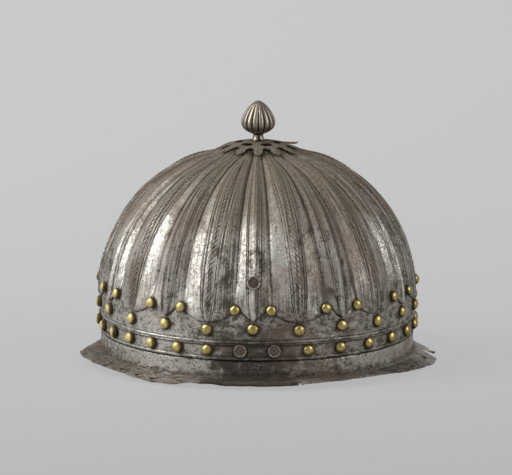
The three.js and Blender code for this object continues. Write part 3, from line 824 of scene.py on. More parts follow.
class Finish:
    """One procedural material. Its node method adds any node to the tree."""

    def __init__(self, name):
        self.material = bpy.data.materials.new(name)
        self.material.use_nodes = True
        self.tree = self.material.node_tree
        self.tree.nodes.clear()

    def node(self, kind, options=None, inputs=None, output=0):
        """Adds a node, sets its options first and then its sockets, and gives one output."""
        node = self.tree.nodes.new(kind)
        for option, value in (options or {}).items():
            setattr(node, option, value)
        for socket, value in (inputs or {}).items():
            if isinstance(value, Wire):
                self.tree.links.new(value.socket, node.inputs[socket])
            else:
                node.inputs[socket].default_value = value
        return Wire(self, node.outputs[output])

    def here(self):
        return self.node("ShaderNodeTexCoord", output="Object")

    def part_of(self, vector, axis):
        """The vector's number along an axis, 0 for X to 2 for Z."""
        return self.node("ShaderNodeSeparateXYZ", None, {0: vector}, output=axis)

    def mask(self, name, output="Fac"):
        return self.node("ShaderNodeAttribute", {"attribute_name": name}, output=output)

    def noise(self, vector, size, detail, roughness=0.6):
        """Cloudy noise of 0 to 1 whose patches are about the given size."""
        inputs = {"Vector": vector, "Scale": 1 / size, "Detail": detail, "Roughness": roughness}
        return self.node("ShaderNodeTexNoise", None, inputs)

    def stretched(self, vector, scale):
        return self.node("ShaderNodeMapping", None, {"Vector": vector, "Scale": scale})

    def step(self, value, low, high):
        """0 below low, 1 above high, smooth between."""
        inputs = {"Value": value, "From Min": low, "From Max": high}
        return self.node("ShaderNodeMapRange", {"interpolation_type": "SMOOTHSTEP"}, inputs)

    def within(self, value, low, high):
        return self.node("ShaderNodeClamp", None, {"Value": value, "Min": low, "Max": high})

    def blend(self, share, first, second):
        """A mix of two colours."""
        inputs = {0: share, 6: opaque(first), 7: opaque(second)}
        return self.node("ShaderNodeMix", {"data_type": "RGBA"}, inputs, output=2)

    def surface(self, **sockets):
        """Ends the tree with one surface shader. Names use _ for a space."""
        inputs = {name.replace("_", " "): value for name, value in sockets.items()}
        return self.ended(self.node("ShaderNodeBsdfPrincipled", None, inputs))

    def ended(self, shader):
        end = self.tree.nodes.new("ShaderNodeOutputMaterial")
        self.tree.links.new(shader.socket, end.inputs["Surface"])
        return self.material

    def bump(self, height, depth, strength=1.0):
        inputs = {"Height": height, "Distance": depth, "Strength": strength}
        return self.node("ShaderNodeBump", None, inputs)


def shade(value, share):
    """A colour made darker or lighter: each channel times the share."""
    return tuple(share * channel for channel in value[:3])


def opaque(value):
    """A colour with full alpha, or a wire as it is."""
    return value if isinstance(value, Wire) else (*value[:3], 1.0)


# Sizes of the patterns in the patina
CLOUD = 40 * MM
PATCH = 8 * MM
BLOTCH = 4.5 * MM
SPECK = 1.5 * MM
PATINA_DEPTH = 0.56 * MM
# Brush marks are drawn out by this along the flow. Below the crown blotches take their place.
BRUSH_STRETCH = (1, 1, 0.06)
BRUSHED_ABOVE = (46 * MM, 54 * MM)
# From the helmet's left, where the caps are painted pale for the light that falls there, to where
# they aren't
PAINTED_PALE_CAPS_END = (-95 * MM, -15 * MM)


def iron_finish(name, bright, dull, brown, pitting=1.0, browning=0.0):
    """Old forged iron: bright where it is rubbed and where a highlight is painted, grey-brown and
    pitted elsewhere, sooty in the grooves and dark where shade and shadow are painted, with fine
    brush marks up the helmet and brown patches. The tone is a weighed sum of the patterns, and
    each layer goes over the last by a smooth step of its own sum."""
    colours = settings().finish
    iron = Finish(name)
    here = iron.here()
    flow = iron.mask("flow", "Vector")
    groove, wear, rub = iron.mask("groove"), iron.mask("wear"), iron.mask("rub")
    inside, stain, tarnish = iron.mask("inside"), iron.mask("stain"), iron.mask("tarnish")
    spots = iron.mask("brown")
    cloud = iron.noise(here, CLOUD, 3)
    patch = iron.noise(here, PATCH, 5, 0.7)
    speck = iron.noise(here, SPECK, 3, 0.75)
    brushed = iron.noise(iron.stretched(flow, BRUSH_STRETCH), SPECK, 3, 0.65)
    crown = iron.step(iron.part_of(here, 2), *BRUSHED_ABOVE)
    blotch = iron.noise(iron.stretched(here, (1, 1, 1.7)), BLOTCH, 4, 0.7)
    streak = blotch + (brushed - blotch) * crown
    tone = 0.52 * patch + 0.46 * speck + 0.5 * streak - 0.24
    # The rub mask carries painted highlight and painted shade as well as wear
    lean_to = 0.07 * wear + 0.07 * rub - 0.06 * tarnish - 0.1 * stain - 0.2 * spots
    rubbed = iron.step(tone + lean_to, 0.42, 0.59)
    mottle = iron.step(0.5 * patch + 0.5 * streak + 0.3 * (speck - 0.5), 0.4, 0.62)
    dull_now = iron.blend(mottle, shade(dull, 0.65), shade(dull, 1.9))
    metal = iron.blend(rubbed, dull_now, bright)
    pits = iron.step(speck + 0.4 * (patch - 0.5), 0.5, 0.62) * pitting
    rusty = cloud + 0.4 * patch + browning + 0.12 * tarnish + 0.3 * inside
    rust = iron.step(rusty, 0.66, 0.9) * (1 - 0.5 * wear)
    metal = iron.blend(rust * 0.7, metal, brown)
    film = iron.step(tarnish + 2 * (streak - 0.5) + 1.8 * (patch - 0.5), 0.15, 1.1)
    grain = iron.step(speck + 0.8 * (streak - 0.5), 0.4, 0.62)
    tarnish_now = iron.blend(grain, shade(colours.tarnish, 0.5), shade(colours.tarnish, 1.62))
    metal = iron.blend(film * 0.75, metal, tarnish_now)
    # The groove mask here also carries painted shade and shadow
    dark = groove * 0.95 + 0.5 * pits + 0.6 * stain * (1.25 - speck) + 0.8 * spots
    dirt = iron.step(dark, 0.0, 1.1)
    height = (0.35 * patch + 0.45 * speck + 0.2 * streak - 0.45 * pits) * (1 - 0.35 * rub)
    return iron.surface(
        Base_Color=iron.blend(dirt, metal, colours.soot_and_painted_shade),
        Roughness=0.46 - 0.08 * rubbed + 0.14 * rust + 0.2 * dirt + 0.14 * film,
        Metallic=1 - 0.35 * rust - 0.5 * dirt - 0.3 * film,
        Normal=iron.bump(height, PATINA_DEPTH),
    )


def brass_finish(name, clean, dirt, polish=0.25):
    """Rubbed brass, darker where dirt gathers and where shade is painted, and painted paler at the
    helmet's left where the light falls, with small dents."""
    brass = Finish(name)
    here = brass.here()
    patch = brass.noise(here, 3 * MM, 3)
    speck = brass.noise(here, 0.7 * MM, 2)
    groove = brass.mask("groove")
    grime = brass.step(groove + 0.5 * patch, 0.38, 1.15)
    # The caps at the left are painted paler, a painted highlight
    away_from_painted_pale = brass.step(brass.part_of(here, 0), *PAINTED_PALE_CAPS_END)
    clean_now = brass.blend(away_from_painted_pale, shade(clean, 1.7), clean)
    return brass.surface(
        Base_Color=brass.blend(grime, clean_now, dirt),
        Metallic=1 - 0.3 * grime - 0.45 * (1 - away_from_painted_pale),
        Roughness=polish + 0.12 * (1 - away_from_painted_pale) + 0.12 * patch + 0.25 * grime,
        Normal=brass.bump(patch + 0.3 * speck, 0.12 * MM, 0.5),
    )


def leather_finish(name, hide):
    """Old hide: fine grain of creased cells, cracks and rubbed darker edges."""
    leather = Finish(name)
    here = leather.here()
    cell_places = {"Vector": here, "Scale": 620}
    cells = leather.node("ShaderNodeTexVoronoi", {"feature": "DISTANCE_TO_EDGE"}, cell_places)
    grain = leather.step(cells, 0.0, 0.22)
    patch = leather.noise(here, 14 * MM, 5, 0.65)
    groove = leather.mask("groove")
    skin = leather.blend(leather.step(patch, 0.4, 0.72), hide, shade(hide, 2.4))
    skin = leather.blend(groove * 0.8 + (1 - grain) * 0.35, skin, shade(hide, 0.3))
    return leather.surface(
        Base_Color=skin,
        Roughness=0.62 + 0.25 * patch,
        Normal=leather.bump(grain + 0.8 * patch, 0.3 * MM, 0.8),
    )


def thread_finish(name, linen):
    """Twisted linen thread, greyed by handling."""
    thread = Finish(name)
    here = thread.here()
    fibre = thread.noise(thread.stretched(here, (1, 1, 4)), 0.8 * MM, 3)
    return thread.surface(
        Base_Color=thread.blend(fibre, shade(linen, 0.45), linen),
        Roughness=0.8 + 0.1 * fibre,
        Normal=thread.bump(fibre, 0.15 * MM, 0.7),
    )


def finish_named(name):
    """A finish of this name, made at its first use."""
    found = bpy.data.materials.get(name)
    if found:
        return found
    colours = settings().finish
    bright, dull, brown = colours.bright_iron, colours.dull_iron, colours.brown_iron
    makers = {
        "forged_iron": (iron_finish, bright, dull, brown),
        "collar_iron": (iron_finish, bright, shade(dull, 0.92), brown, 1.2),
        "rosette_plate_iron": (iron_finish, shade(bright, 0.6), shade(dull, 0.8), brown, 1.2, 0.1),
        "rusty_rivet_iron": (iron_finish, shade(bright, 0.8), dull, brown, 1.2, 0.14),
        "rubbed_brass": (brass_finish, colours.brass, colours.brass_dirt_and_painted_shade),
        "silvery_brass": (brass_finish, colours.bud_brass, colours.soot_and_painted_shade, 0.34),
        "strap_hide": (leather_finish, colours.leather),
        "linen_thread": (thread_finish, colours.thread),
    }
    maker, *values = makers[name]
    return maker(name, *values)


# Pieces


class HELMET_OT_skull(bpy.types.Operator):
    """The fluted iron skull in one sheet"""

    bl_idname = "helmet.skull"
    bl_label = "Fluted Skull"

    def execute(self, context):
        points, masks = skull_shell()
        faces = [grid_faces(*points.shape[:2], closed_rows=True)]
        points = leaned(hammered(points, masks["inside"]))
        add_piece(
            "skull_shell", points.reshape(-1, 3), faces,
            "forged_iron", ["skull"], iron_masks(points, **masks), 50 * DEGREE,
        )  # fmt: skip
        return {"FINISHED"}


ROPE_ROWS = 190
ROPE_COLUMNS = 17
ROPE_STRANDS = 5
ROPE_ARC = 105 * DEGREE
# How far over the flute's tip a rope begins and how far up it has swollen, and where it ends
ROPE_FOOT = 1.2 * MM
ROPE_SWELLS = 14 * MM
ROPE_TOP_RADIUS = 31 * MM
# The share of its length that a rope spends on the straight wall
ROPE_ON_WALL = 0.012


def rope_ridge(middle, half, handed):
    """A half-round rope up the middle of a wide flute. Its radius swells from both ends, and each
    strand bulges as |sin| of the strand's turn, which twists along the way. The last two columns
    close it inside the sheet."""
    skull = settings().skull
    foot = WIDE_TIP_HEIGHT + ROPE_FOOT
    start, end = climb_at(foot), climb_at_radius(ROPE_TOP_RADIUS)
    share = np.linspace(0, 1, ROPE_ROWS)
    climb = start + (end - start) * share
    wall_share = np.clip(share / ROPE_ON_WALL, 0, 1)
    low = foot + (skull.wall_height - foot) * wall_share
    radius, level, *_ = side_view(np.minimum(low, skull.wall_height), climb)
    path = np.stack([radius, level], axis=-1)
    along = np.concatenate([[0], np.cumsum(np.linalg.norm(np.diff(path, axis=0), axis=1))])
    base = relief_fade(radius) * skull.flute_proud
    room = np.minimum(skull.rope_radius, 0.3 * radius * half)
    girth = room * (0.35 + 0.65 * smooth_step(along, 0, ROPE_SWELLS))
    girth = girth * (1 - 0.35 * smooth_step(share, 0.8, 1))
    turn = np.linspace(-ROPE_ARC, ROPE_ARC, ROPE_COLUMNS)
    twisted = handed * FULL_TURN * along[:, None] / skull.rope_pitch
    strand = np.abs(np.sin(ROPE_STRANDS / 2 * (turn[None, :] - twisted)))
    swelling = girth[:, None] * (0.84 + 0.2 * strand)
    sideways = swelling * np.sin(turn)
    lift = base[:, None] + 0.68 * swelling * np.cos(turn) - 0.14 * girth[:, None]
    azimuth = middle + sideways / radius[:, None]
    rings = skull_points(azimuth, level[:, None], climb[:, None], lift)
    # Painted shade in the crevice along both sides of the rope's foot
    painted_shade_at_foot = smooth_step(np.abs(turn), 50 * DEGREE, ROPE_ARC)
    groove = np.clip(1 - 1.6 * strand, 0, 0.8) + painted_shade_at_foot
    wear = 0.4 * smooth_step(strand, 0.5, 1) * np.cos(turn).clip(0, 1)
    return rings, np.clip(groove, 0, 1), wear


class HELMET_OT_ropes(bpy.types.Operator):
    """The roped ridges up the wide flutes"""

    bl_idname = "helmet.ropes"
    bl_label = "Roped Ridges"

    def execute(self, context):
        middles, halves, wide = flutes()
        for index, (middle, half) in enumerate(zip(middles[wide], halves[wide])):
            handed = 1 if math.sin(middle) < 0 else -1
            rings, groove, wear = rope_ridge(middle, half, handed)
            points = leaned(hammered(rings, 0))
            numbers = np.arange(ROPE_ROWS * ROPE_COLUMNS).reshape(ROPE_ROWS, ROPE_COLUMNS)
            ends = [numbers[0, ::-1][None, :], numbers[-1][None, :]]
            faces = [grid_faces(ROPE_ROWS, ROPE_COLUMNS)] + ends
            masks = iron_masks(points, groove, wear, rub=-0.5)
            add_piece(
                f"rope_ridge_{index + 1:02d}", points.reshape(-1, 3), faces,
                "forged_iron", (), masks, 60 * DEGREE,
            )  # fmt: skip
        return {"FINISHED"}


# The flange's rim: azimuth in degrees, radius and height of its lower side in millimetres
RIM_KNOTS = np.array([
    (-180, 124.2, 0.5), (-140, 124.0, 0.4), (-110, 123.8, 0.1), (-99, 123.4, 0.4),
    (-91, 123.0, 2.3), (-82, 123.3, 4.9), (-72, 123.6, 5.9), (-63, 123.9, 5.9),
    (-55, 124.0, 5.4), (-48, 124.1, 4.5), (-41, 124.2, 2.9), (-35, 124.3, 1.5),
    (-28, 124.3, 1.6), (-20, 124.0, 4.0), (-16, 124.2, 4.1), (-8, 124.4, 3.8),
    (4, 124.4, 3.9), (13, 124.3, 4.0), (26, 124.0, 4.7), (41, 124.2, 5.4), (54, 124.3, 4.0),
    (67, 124.4, 2.9), (78, 124.5, 1.2), (87, 124.6, 0.8), (96, 124.5, 0.15),
    (106, 124.2, 0.4), (140, 124.2, 0.3), (180, 124.2, 0.5),
])  # fmt: skip
BRIM_COLUMNS = 720
# Rows down the collar, which steps out under the skull: height, set back from its shown radius,
# and dirt
COLLAR_ROWS = (
    (11.8, 1.75, 0.2), (9, 1.75, 0.2), (5, 1.75, 0.2), (1, 1.75, 0.6), (-0.35, 1.75, 0.9),
    (-0.7, 0.7, 0.75), (-0.95, 0.15, 0.3), (-1.4, 0.0, 0.15), (-2.6, 0.0, 0.0), (-4.5, 0.0, 0.0),
    (-6.4, 0.0, 0.0), (-7.8, 0.0, 0.0), (-9.0, 0.0, 0.05), (-9.9, 0.0, 0.1),
)  # fmt: skip
# The fillet's rows, and where soot gathers among them, as a bell curve from the collar's last row
FILLET_ROWS = 5
FILLET_MIDDLE = 1.4
FILLET_SPREAD = 2.4
RIM_INSETS = (13.0, 11.2, 9.4, 7.8, 6.4, 5.2, 4.0, 2.9, 1.8, 0.9, 0.35, 0.0)
HOLE_INSET_ROW = 7
HOLE_AZIMUTHS = (
    -173, -164, -154, -146, -136, -127, -117, -109, -99, -91, -84, -57, -48.5, -41.3, -35, -25.3,
    28.3, 40, 50, 61, 78, 99, 108, 117, 126, 135, 144, 153, 162, 171,
)  # fmt: skip
# Those that sit further in from the rim
INNER_HOLES = (-84, -57, 78, 99)
# Rows from here outwards are the flange, by their distance in millimetres from the rim
FLANGE_INSET = 50
# Tears: azimuth, reach in from the rim, gap at the rim, drop of the side before and after
TEARS = (
    (-17.0, 9.0, 0.3, 0.9, -0.5),
    (13.5, 4.5, 1.6, -0.2, 0.5),
    (91.0, 15.0, 11.0, 1.0, -2.6),
    (-97.0, 3.5, 1.0, 0.0, 0.5),
)
# Where the width of the column that a tear takes out is measured
TEARS_RADIUS = 123 * MM


def rim_knots(azimuth):
    """Radius and height of the rim between its knots, on a smooth step from knot to knot."""
    turned_to = (azimuth / DEGREE + 180) % 360 - 180
    after = np.clip(np.searchsorted(RIM_KNOTS[:, 0], turned_to), 1, len(RIM_KNOTS) - 1)
    low, high = RIM_KNOTS[after - 1], RIM_KNOTS[after]
    share = smooth_step(turned_to, low[:, 0], high[:, 0])[:, None]
    radius, height = (low[:, 1:] + (high[:, 1:] - low[:, 1:]) * share).T
    return radius * MM, height * MM


def brim_sheet():
    """The outer face of the collar and the flange: straight rows down the collar, a quadratic
    curve round the fillet, and straight rows out to the uneven rim. Gives the rows of points and
    each row's inset from the rim."""
    brim = settings().brim
    azimuth = -math.pi + (np.arange(BRIM_COLUMNS) + 0.5) * FULL_TURN / BRIM_COLUMNS
    rows = [
        leaned(around(brim.collar_radius - set_back * MM, azimuth, height * MM))
        for height, set_back, _ in COLLAR_ROWS
    ]
    rim_radius, rim_low = rim_knots(azimuth)
    circle = around(rim_radius, azimuth, rim_low)
    rim_radius = rim_radius + 0.35 * MM * wander(circle, 9 * MM, seed=11)
    rim_radius = rim_radius - 0.5 * MM * np.maximum(wander(circle, 4 * MM, seed=12) - 0.35, 0)
    rim_low = rim_low + 0.2 * MM * np.maximum(wander(circle, 12 * MM, seed=13), 0)
    rim = around(rim_radius, azimuth, rim_low + brim.sheet)
    corner = leaned(around(brim.collar_radius, azimuth, -brim.collar_drop))
    out = (rim - corner) / np.linalg.norm((rim - corner)[:, :2], axis=1, keepdims=True)
    flat_start = rim - out * RIM_INSETS[0] * MM
    knots = (rows[-1], corner, flat_start)
    for share in np.arange(1, FILLET_ROWS + 1) / (FILLET_ROWS + 1):
        weights = ((1 - share) ** 2, 2 * share * (1 - share), share**2)
        rows.append(sum(weight * knot for weight, knot in zip(weights, knots)))
    rows += [rim - out * inset * MM for inset in RIM_INSETS]
    insets = np.full(len(rows), 2.0 * FLANGE_INSET)
    insets[-len(RIM_INSETS) :] = RIM_INSETS
    return azimuth, np.stack(rows), insets


# The azimuths, in degrees, over which the turned-down strip begins and ends, and its drop
TURNED_AZIMUTHS = ((-17.3, -16.9), (12.5, 15))
TURNED_DOWN = 1.1 * MM


def turn_down_front(points, azimuth, insets):
    """The front strip's edge is turned down: it falls by 1.1 mm at the rim, on a smooth step over
    the last 1.6 mm."""
    front = spanned(azimuth / DEGREE, *TURNED_AZIMUTHS)
    edge = 1 - smooth_step(insets, 0, 1.6)
    points[..., 2] -= TURNED_DOWN * front[None, :] * edge[:, None]
    return points


def torn(points, azimuth, insets):
    """Opens each tear: both sides move apart along the rim and drop by their own amounts, more
    towards the rim, as its share to the 1.3, and fading by exp of the turn from the tear."""
    sideways = around(1.0, azimuth + math.pi / 2, 0.0)
    column_width = FULL_TURN / BRIM_COLUMNS * TEARS_RADIUS
    for place, reach, gap, drop_before, drop_after in TEARS:
        offset = azimuth / DEGREE - place
        side = np.sign(offset)
        near = np.exp(-np.abs(offset) / 5)
        close = np.exp(-((np.abs(offset) / 1.2) ** 2))
        out = np.clip(1 - insets / reach, 0, 1)
        missing = 0.85 * column_width * (insets < reach + 1)[:, None]
        opening = (gap * MM * out[:, None] - missing) / 2
        shift = opening * side * np.where(opening > 0, near, close)
        points += shift[..., None] * sideways[None, :, :]
        drop = np.where(side < 0, drop_before, drop_after) * np.exp(-np.abs(offset) / 4)
        points[..., 2] -= drop * MM * out[:, None] ** 1.3
    return points


def brim_faces(points, azimuth, insets):
    """The sheet's faces, less those in a tear or a lacing hole, and each hole's bright outer lip
    and sooty inner side. The eight points round a hole move onto its circle."""
    hole_radius = settings().brim.hole_radius
    rows, columns = points.shape[:2]
    faces = grid_faces(rows, columns).reshape(rows - 1, columns, 4)[..., ::-1]
    kept = np.ones((rows - 1, columns), bool)
    middle = (azimuth + FULL_TURN / BRIM_COLUMNS / 2) / DEGREE
    for place, reach, *_ in TEARS:
        kept[insets[1:] < reach, np.argmin(np.abs(middle - place))] = False
    lips, soot_and_painted_shade = np.zeros((2, rows, columns))
    for place in HOLE_AZIMUTHS:
        hole_row = rows - len(RIM_INSETS) + HOLE_INSET_ROW - 3 * (place in INNER_HOLES)
        column = np.argmin(np.abs(azimuth / DEGREE - place))
        kept[hole_row - 1 : hole_row + 1, column - 1 : column + 1] = False
        centre = points[hole_row, column].copy()
        for down in (-1, 0, 1):
            for along in (-1, 0, 1):
                lips[hole_row + down, column + 2 * along] = down == 1
                soot_and_painted_shade[hole_row + down, column + 2 * along] = down < 1
                soot_and_painted_shade[hole_row + down, column + along] = down < 1
                if down or along:
                    arm = points[hole_row + down, column + along] - centre
                    onto_circle = hole_radius * arm / np.linalg.norm(arm)
                    points[hole_row + down, column + along] = centre + onto_circle
    return faces[kept], lips.ravel(), soot_and_painted_shade.ravel()


# Azimuths of the brim's worn places in degrees: over which each begins, and over which it ends
WORN_LEFT = ((-85, -65), (-20, -16))
WORN_STRIP = ((-17.6, -17.0), (13, 14.5))
WORN_RIGHT = ((14, 24), (55, 75))
RUBBED_RIGHT = ((66, 82), (115, 135))
LESS_RUST_RIGHT = ((20, 60), (120, 140))


def brim_patina(azimuth, insets):
    """Where the collar is rubbed and painted lighter for the light that falls there, as bell
    curves at its left front and its right, and where the flange is brown: most along the
    turned-down strip and at the right front."""
    place = azimuth / DEGREE
    left_front = np.exp(-(((place + 42) / 26) ** 2))
    right_side = np.exp(-(((place - 68) / 34) ** 2))
    rub = 1.4 * left_front + 2.4 * right_side - 0.2
    left = spanned(place, *WORN_LEFT)
    strip = spanned(place, *WORN_STRIP)
    flange = (insets < FLANGE_INSET) * 1.0
    right = spanned(place, *WORN_RIGHT)
    browning = flange[:, None] * (0.04 + 0.05 * left + 0.25 * right + 0.28 * strip)[None, :]
    browning -= 0.5 * tent(insets - 3.2, 2.2)[:, None] * strip[None, :]
    right_end = spanned(place, *RUBBED_RIGHT)
    collar = (1 - flange)[:, None] * rub[None, :] + flange[:, None] * (2.2 * right_end)[None, :]
    return collar.ravel(), browning.ravel()


class HELMET_OT_brim(bpy.types.Operator):
    """The collar and its worn flange, with lacing holes and tears"""

    bl_idname = "helmet.brim"
    bl_label = "Collar and Flange"

    def execute(self, context):
        azimuth, points, insets = brim_sheet()
        points = turn_down_front(points, azimuth, insets)
        points = torn(points, azimuth, insets)
        flat = points.reshape(-1, 3)
        faces, lips, soot_and_painted_shade = brim_faces(points, azimuth, insets)
        dents = 0.14 * MM * wander(flat, 11 * MM, seed=14)
        dents += 0.25 * MM * wander(flat, 38 * MM, seed=15)
        on_flange = insets < FLANGE_INSET
        flat[:, 2] += np.where(np.repeat(on_flange, BRIM_COLUMNS), np.abs(dents), 0)
        seam = np.zeros(len(points))
        seam[: len(COLLAR_ROWS)] = [dirt for *_, dirt in COLLAR_ROWS]
        from_fillet = np.arange(len(points)) - len(COLLAR_ROWS) - FILLET_MIDDLE
        fillet = np.exp(-((from_fillet / FILLET_SPREAD) ** 2))
        groove = np.repeat(seam + 0.5 * fillet, BRIM_COLUMNS)
        rim_wear = np.repeat(np.clip(1 - insets / 1.2, 0, 1) * 0.5, BRIM_COLUMNS)
        rim_wear = np.maximum(rim_wear, lips)
        rub, brown = brim_patina(azimuth, insets)
        rub = rub + 8 * lips - 1.8 * np.repeat(fillet, BRIM_COLUMNS)
        groove = np.maximum(groove, soot_and_painted_shade)
        body, groups, origin = thickened(flat, faces, settings().brim.sheet)
        body[:, 2] = np.maximum(body[:, 2], 0)
        worn_right = spanned(azimuth / DEGREE, *LESS_RUST_RIGHT)
        rusty = on_flange[:, None] * (0.4 - 0.5 * worn_right)
        rusty = rusty + fillet[:, None] * (0.6 - 0.4 * worn_right)
        under = (rusty.ravel() - 1.2 * lips)[origin]
        under[len(body) // 2 :] = 1
        masks = (groove[origin], rim_wear[origin], under, rub[origin], brown[origin])
        add_piece(
            "collar_and_flange", body, groups,
            "collar_iron", ["brim"], iron_masks(body, *masks), 42 * DEGREE,
        )  # fmt: skip
        return {"FINISHED"}


# Rivets

CAP_SIDES = 28
SHANK_RADIUS = 1.3 * MM
BAND_COUNT = 30
BARE_COUNT = 2
BAND_DRIFT = 1.7 * DEGREE
BAND_HEIGHT = 6.4 * MM
TIP_RIVET_DROP = 5.2 * MM
VALLEY_HEIGHT = 33.8 * MM
PLUG_HEIGHT = 51.7 * MM
BAND_STACK = 6.2 * MM
PLUG_SKIRT = 1.5 * MM
TAIL_RADIUS = 2.1 * MM
CAP_SKIRT = 0.45 * MM
CAP_TILT = 3 * DEGREE
CAP_DENTS = 0.035
# How far the shanks reach beyond the sheets that they hold
BAND_REACH, TIP_REACH, VALLEY_REACH, PLUG_REACH = 1.5 * MM, 1.2 * MM, 1.7 * MM, 1 * MM
# How high the caps of each row rise, and how far they sit off the plain skull
BAND_CAP, TIP_CAP, VALLEY_CAP = (3.7 * MM, -0.3 * MM), (3.6 * MM, 0.0), (3.4 * MM, 0.55 * MM)
# Radius as a share of the head's, and height in millimetres
PLAIN_HEAD = (
    (1.0, 0.25), (0.99, 0.7), (0.93, 1.0), (0.86, 0.85), (0.8, 0.45), (0.7, 0.4), (0.5, 0.5),
    (0.25, 0.55), (0, 0.56),
)  # fmt: skip


def band_azimuths():
    """The band rivets flank the front, a little closer there and behind than at the sides: each
    drifts by 1.7 degrees times 1 - cos of twice its azimuth."""
    even = even_azimuths(BAND_COUNT, -math.pi / BAND_COUNT)
    return even + BAND_DRIFT * (1 - np.cos(2 * even))


def between_rivets(azimuth):
    """0 at a band rivet and 1 half way to the next."""
    even = azimuth - BAND_DRIFT * (1 - np.cos(2 * azimuth))
    return np.abs(np.cos(even * BAND_COUNT / 2))


def placed(points, azimuth, height, offset):
    """Moves a rivet, made upright at the origin, onto the skull: its axis turns to the way that
    the sheet faces there."""
    climb = climb_at(height)
    _, _, outward, upward = side_view(height, climb)
    facing = around(outward, azimuth, upward).ravel()
    turn = Vector((0, 0, 1)).rotation_difference(Vector(facing)).to_matrix()
    seat = skull_points(azimuth, height, climb, offset).ravel()
    return leaned(points @ np.array(turn).T + seat)


def shank_profile(length_in):
    """Below the head: a straight shank with a small hammered tail, a millimetre high, at its
    end."""
    tail = ((0, 0), (0.7 * TAIL_RADIUS, 0), (TAIL_RADIUS, 0.25), (0.95 * TAIL_RADIUS, 0.7))
    rows = [(radius, -length_in + up * MM) for radius, up in tail + ((SHANK_RADIUS, 0.95),)]
    return rows + [(SHANK_RADIUS, -0.05 * MM)]


def cap_profile(radius, rise, length_in):
    """A brass cap over its shank: a short upright skirt, then a dome, near a quarter ellipse:
    r = R cos(t)^0.92, h = skirt + H sin t."""
    turn = np.linspace(0, math.pi / 2, 11)[:-1]
    height = CAP_SKIRT + (rise - CAP_SKIRT) * np.sin(turn)
    dome = np.stack([radius * np.cos(turn) ** 0.92, height], axis=-1)
    foot = [(radius * 0.9, -0.15 * MM), (radius * 0.99, 0.0)]
    return np.array(shank_profile(length_in) + foot + dome.tolist() + [(0, rise)])


def cap_dirt_and_painted_shade(profile, radius, azimuth):
    """Dirt and painted shade towards a cap's edge, on the same points as the turned body. On the
    right it starts nearer to the middle, as painted shade: by the cosine of the turn from there. A
    dark streak of painted reflection runs from the middle down, as a bell curve across."""
    from_down = even_azimuths(CAP_SIDES) - azimuth
    # Painted shade on the cap's right and lower side
    painted_shade_side = 0.5 + 0.5 * np.cos(from_down - 75 * DEGREE)
    start = 0.72 - 0.5 * painted_shade_side
    share = profile[1:-1, 0][:, None] / radius
    dirt = smooth_step((share - start) / (1.1 - start), 0, 1)
    across, down = share * np.sin(from_down), share * np.cos(from_down)
    # A dark streak down the cap's middle: painted reflection
    streak = np.exp(-(((across - 0.08) / 0.22) ** 2)) * smooth_step(down, -0.4, 0.1)
    dirt = np.maximum(dirt, 0.5 * streak)
    dirt = np.where(profile[1:-1, 1][:, None] > 0, dirt, 1)
    return np.concatenate([dirt.ravel(), [1, 0.35]])


def add_cap(name, azimuth, height, radius, form, length_in, seed, replaces=()):
    """One brass cap with its own small dents, a little tilted."""
    rise, offset = form
    profile = cap_profile(radius, rise, length_in)
    points, faces = turned(profile, even_azimuths(CAP_SIDES))
    dent = wander(points + seed * 7 * MM, 5 * MM, seed=21)
    points *= 1 + CAP_DENTS * dent[:, None]
    dice = np.random.default_rng(seed)
    tilts = [Matrix.Rotation(dice.normal() * CAP_TILT, 3, axis) for axis in "XY"]
    points = points @ np.array(tilts[0] @ tilts[1]).T
    masks = {"groove": cap_dirt_and_painted_shade(profile, radius, azimuth)}
    add_piece(
        name, placed(points, azimuth, height, offset), faces,
        "rubbed_brass", replaces, masks, 55 * DEGREE,
    )  # fmt: skip


class HELMET_OT_caps(bpy.types.Operator):
    """Three rows of brass-capped rivets"""

    bl_idname = "helmet.caps"
    bl_label = "Brass Caps"

    def execute(self, context):
        rivets, sheet = settings().rivets, settings().skull.sheet
        middles, halves, wide = flutes()
        tip_rivets = tip_height(wide) - TIP_RIVET_DROP
        for index, azimuth in enumerate(band_azimuths()):
            if index >= BARE_COUNT:
                number = f"{index + 1:02d}"
                add_cap(
                    f"band_cap_{number}", azimuth, BAND_HEIGHT, rivets.band_radius, BAND_CAP,
                    BAND_STACK + BAND_REACH, 100 + index, [f"band_rivet_{number}"],
                )  # fmt: skip
        for index, (middle, half) in enumerate(zip(middles, halves)):
            number = f"{index + 1:02d}"
            add_cap(
                f"tip_cap_{number}", middle, tip_rivets[index], rivets.tip_radius, TIP_CAP,
                sheet + TIP_REACH, 200 + index,
            )  # fmt: skip
            add_cap(
                f"valley_cap_{number}", middle + half, VALLEY_HEIGHT, rivets.valley_radius,
                VALLEY_CAP, sheet + VALLEY_REACH, 300 + index, [f"valley_rivet_{number}"],
            )  # fmt: skip
        return {"FINISHED"}


def plain_profile(radius, length_in, skirt):
    """A flat iron head that has lost its cap: a thin raised ring round a sunken, rusty middle. Its
    skirt reaches down beside the ridge that it sits on."""
    head = [(share * radius, height * MM) for share, height in PLAIN_HEAD]
    return np.array(shank_profile(length_in) + [(0.94 * radius, -skirt)] + head)


def add_plain_head(name, azimuth, height, radius, offset, length_in, seed, replaces, skirt=0.0):
    """A head without its cap: a pale ring by a tent on the radius, and rust in its middle."""
    profile = plain_profile(radius, length_in, skirt)
    points, faces = turned(profile, even_azimuths(CAP_SIDES))
    share = np.hypot(points[:, 0], points[:, 1]) / radius
    ring = tent(share - 0.92, 0.12) * (points[:, 2] > 0.5 * MM)
    dark, rusty = (0.3, 0.35) if skirt else (0.12, 0.1)
    middle = share < 0.8
    groove = 0.7 * (share > 0.985) + dark * middle
    points[:, 2] += 0.06 * MM * wander(points, 2.5 * MM, seed=seed) * (points[:, 2] > 0)
    points = placed(points, azimuth, height, offset)
    masks = iron_masks(points, groove, ring, rub=2 * ring, brown=rusty * middle)
    masks["stain"] *= 0.25
    add_piece(
        name, points, faces, "rusty_rivet_iron", replaces, masks, 50 * DEGREE
    )


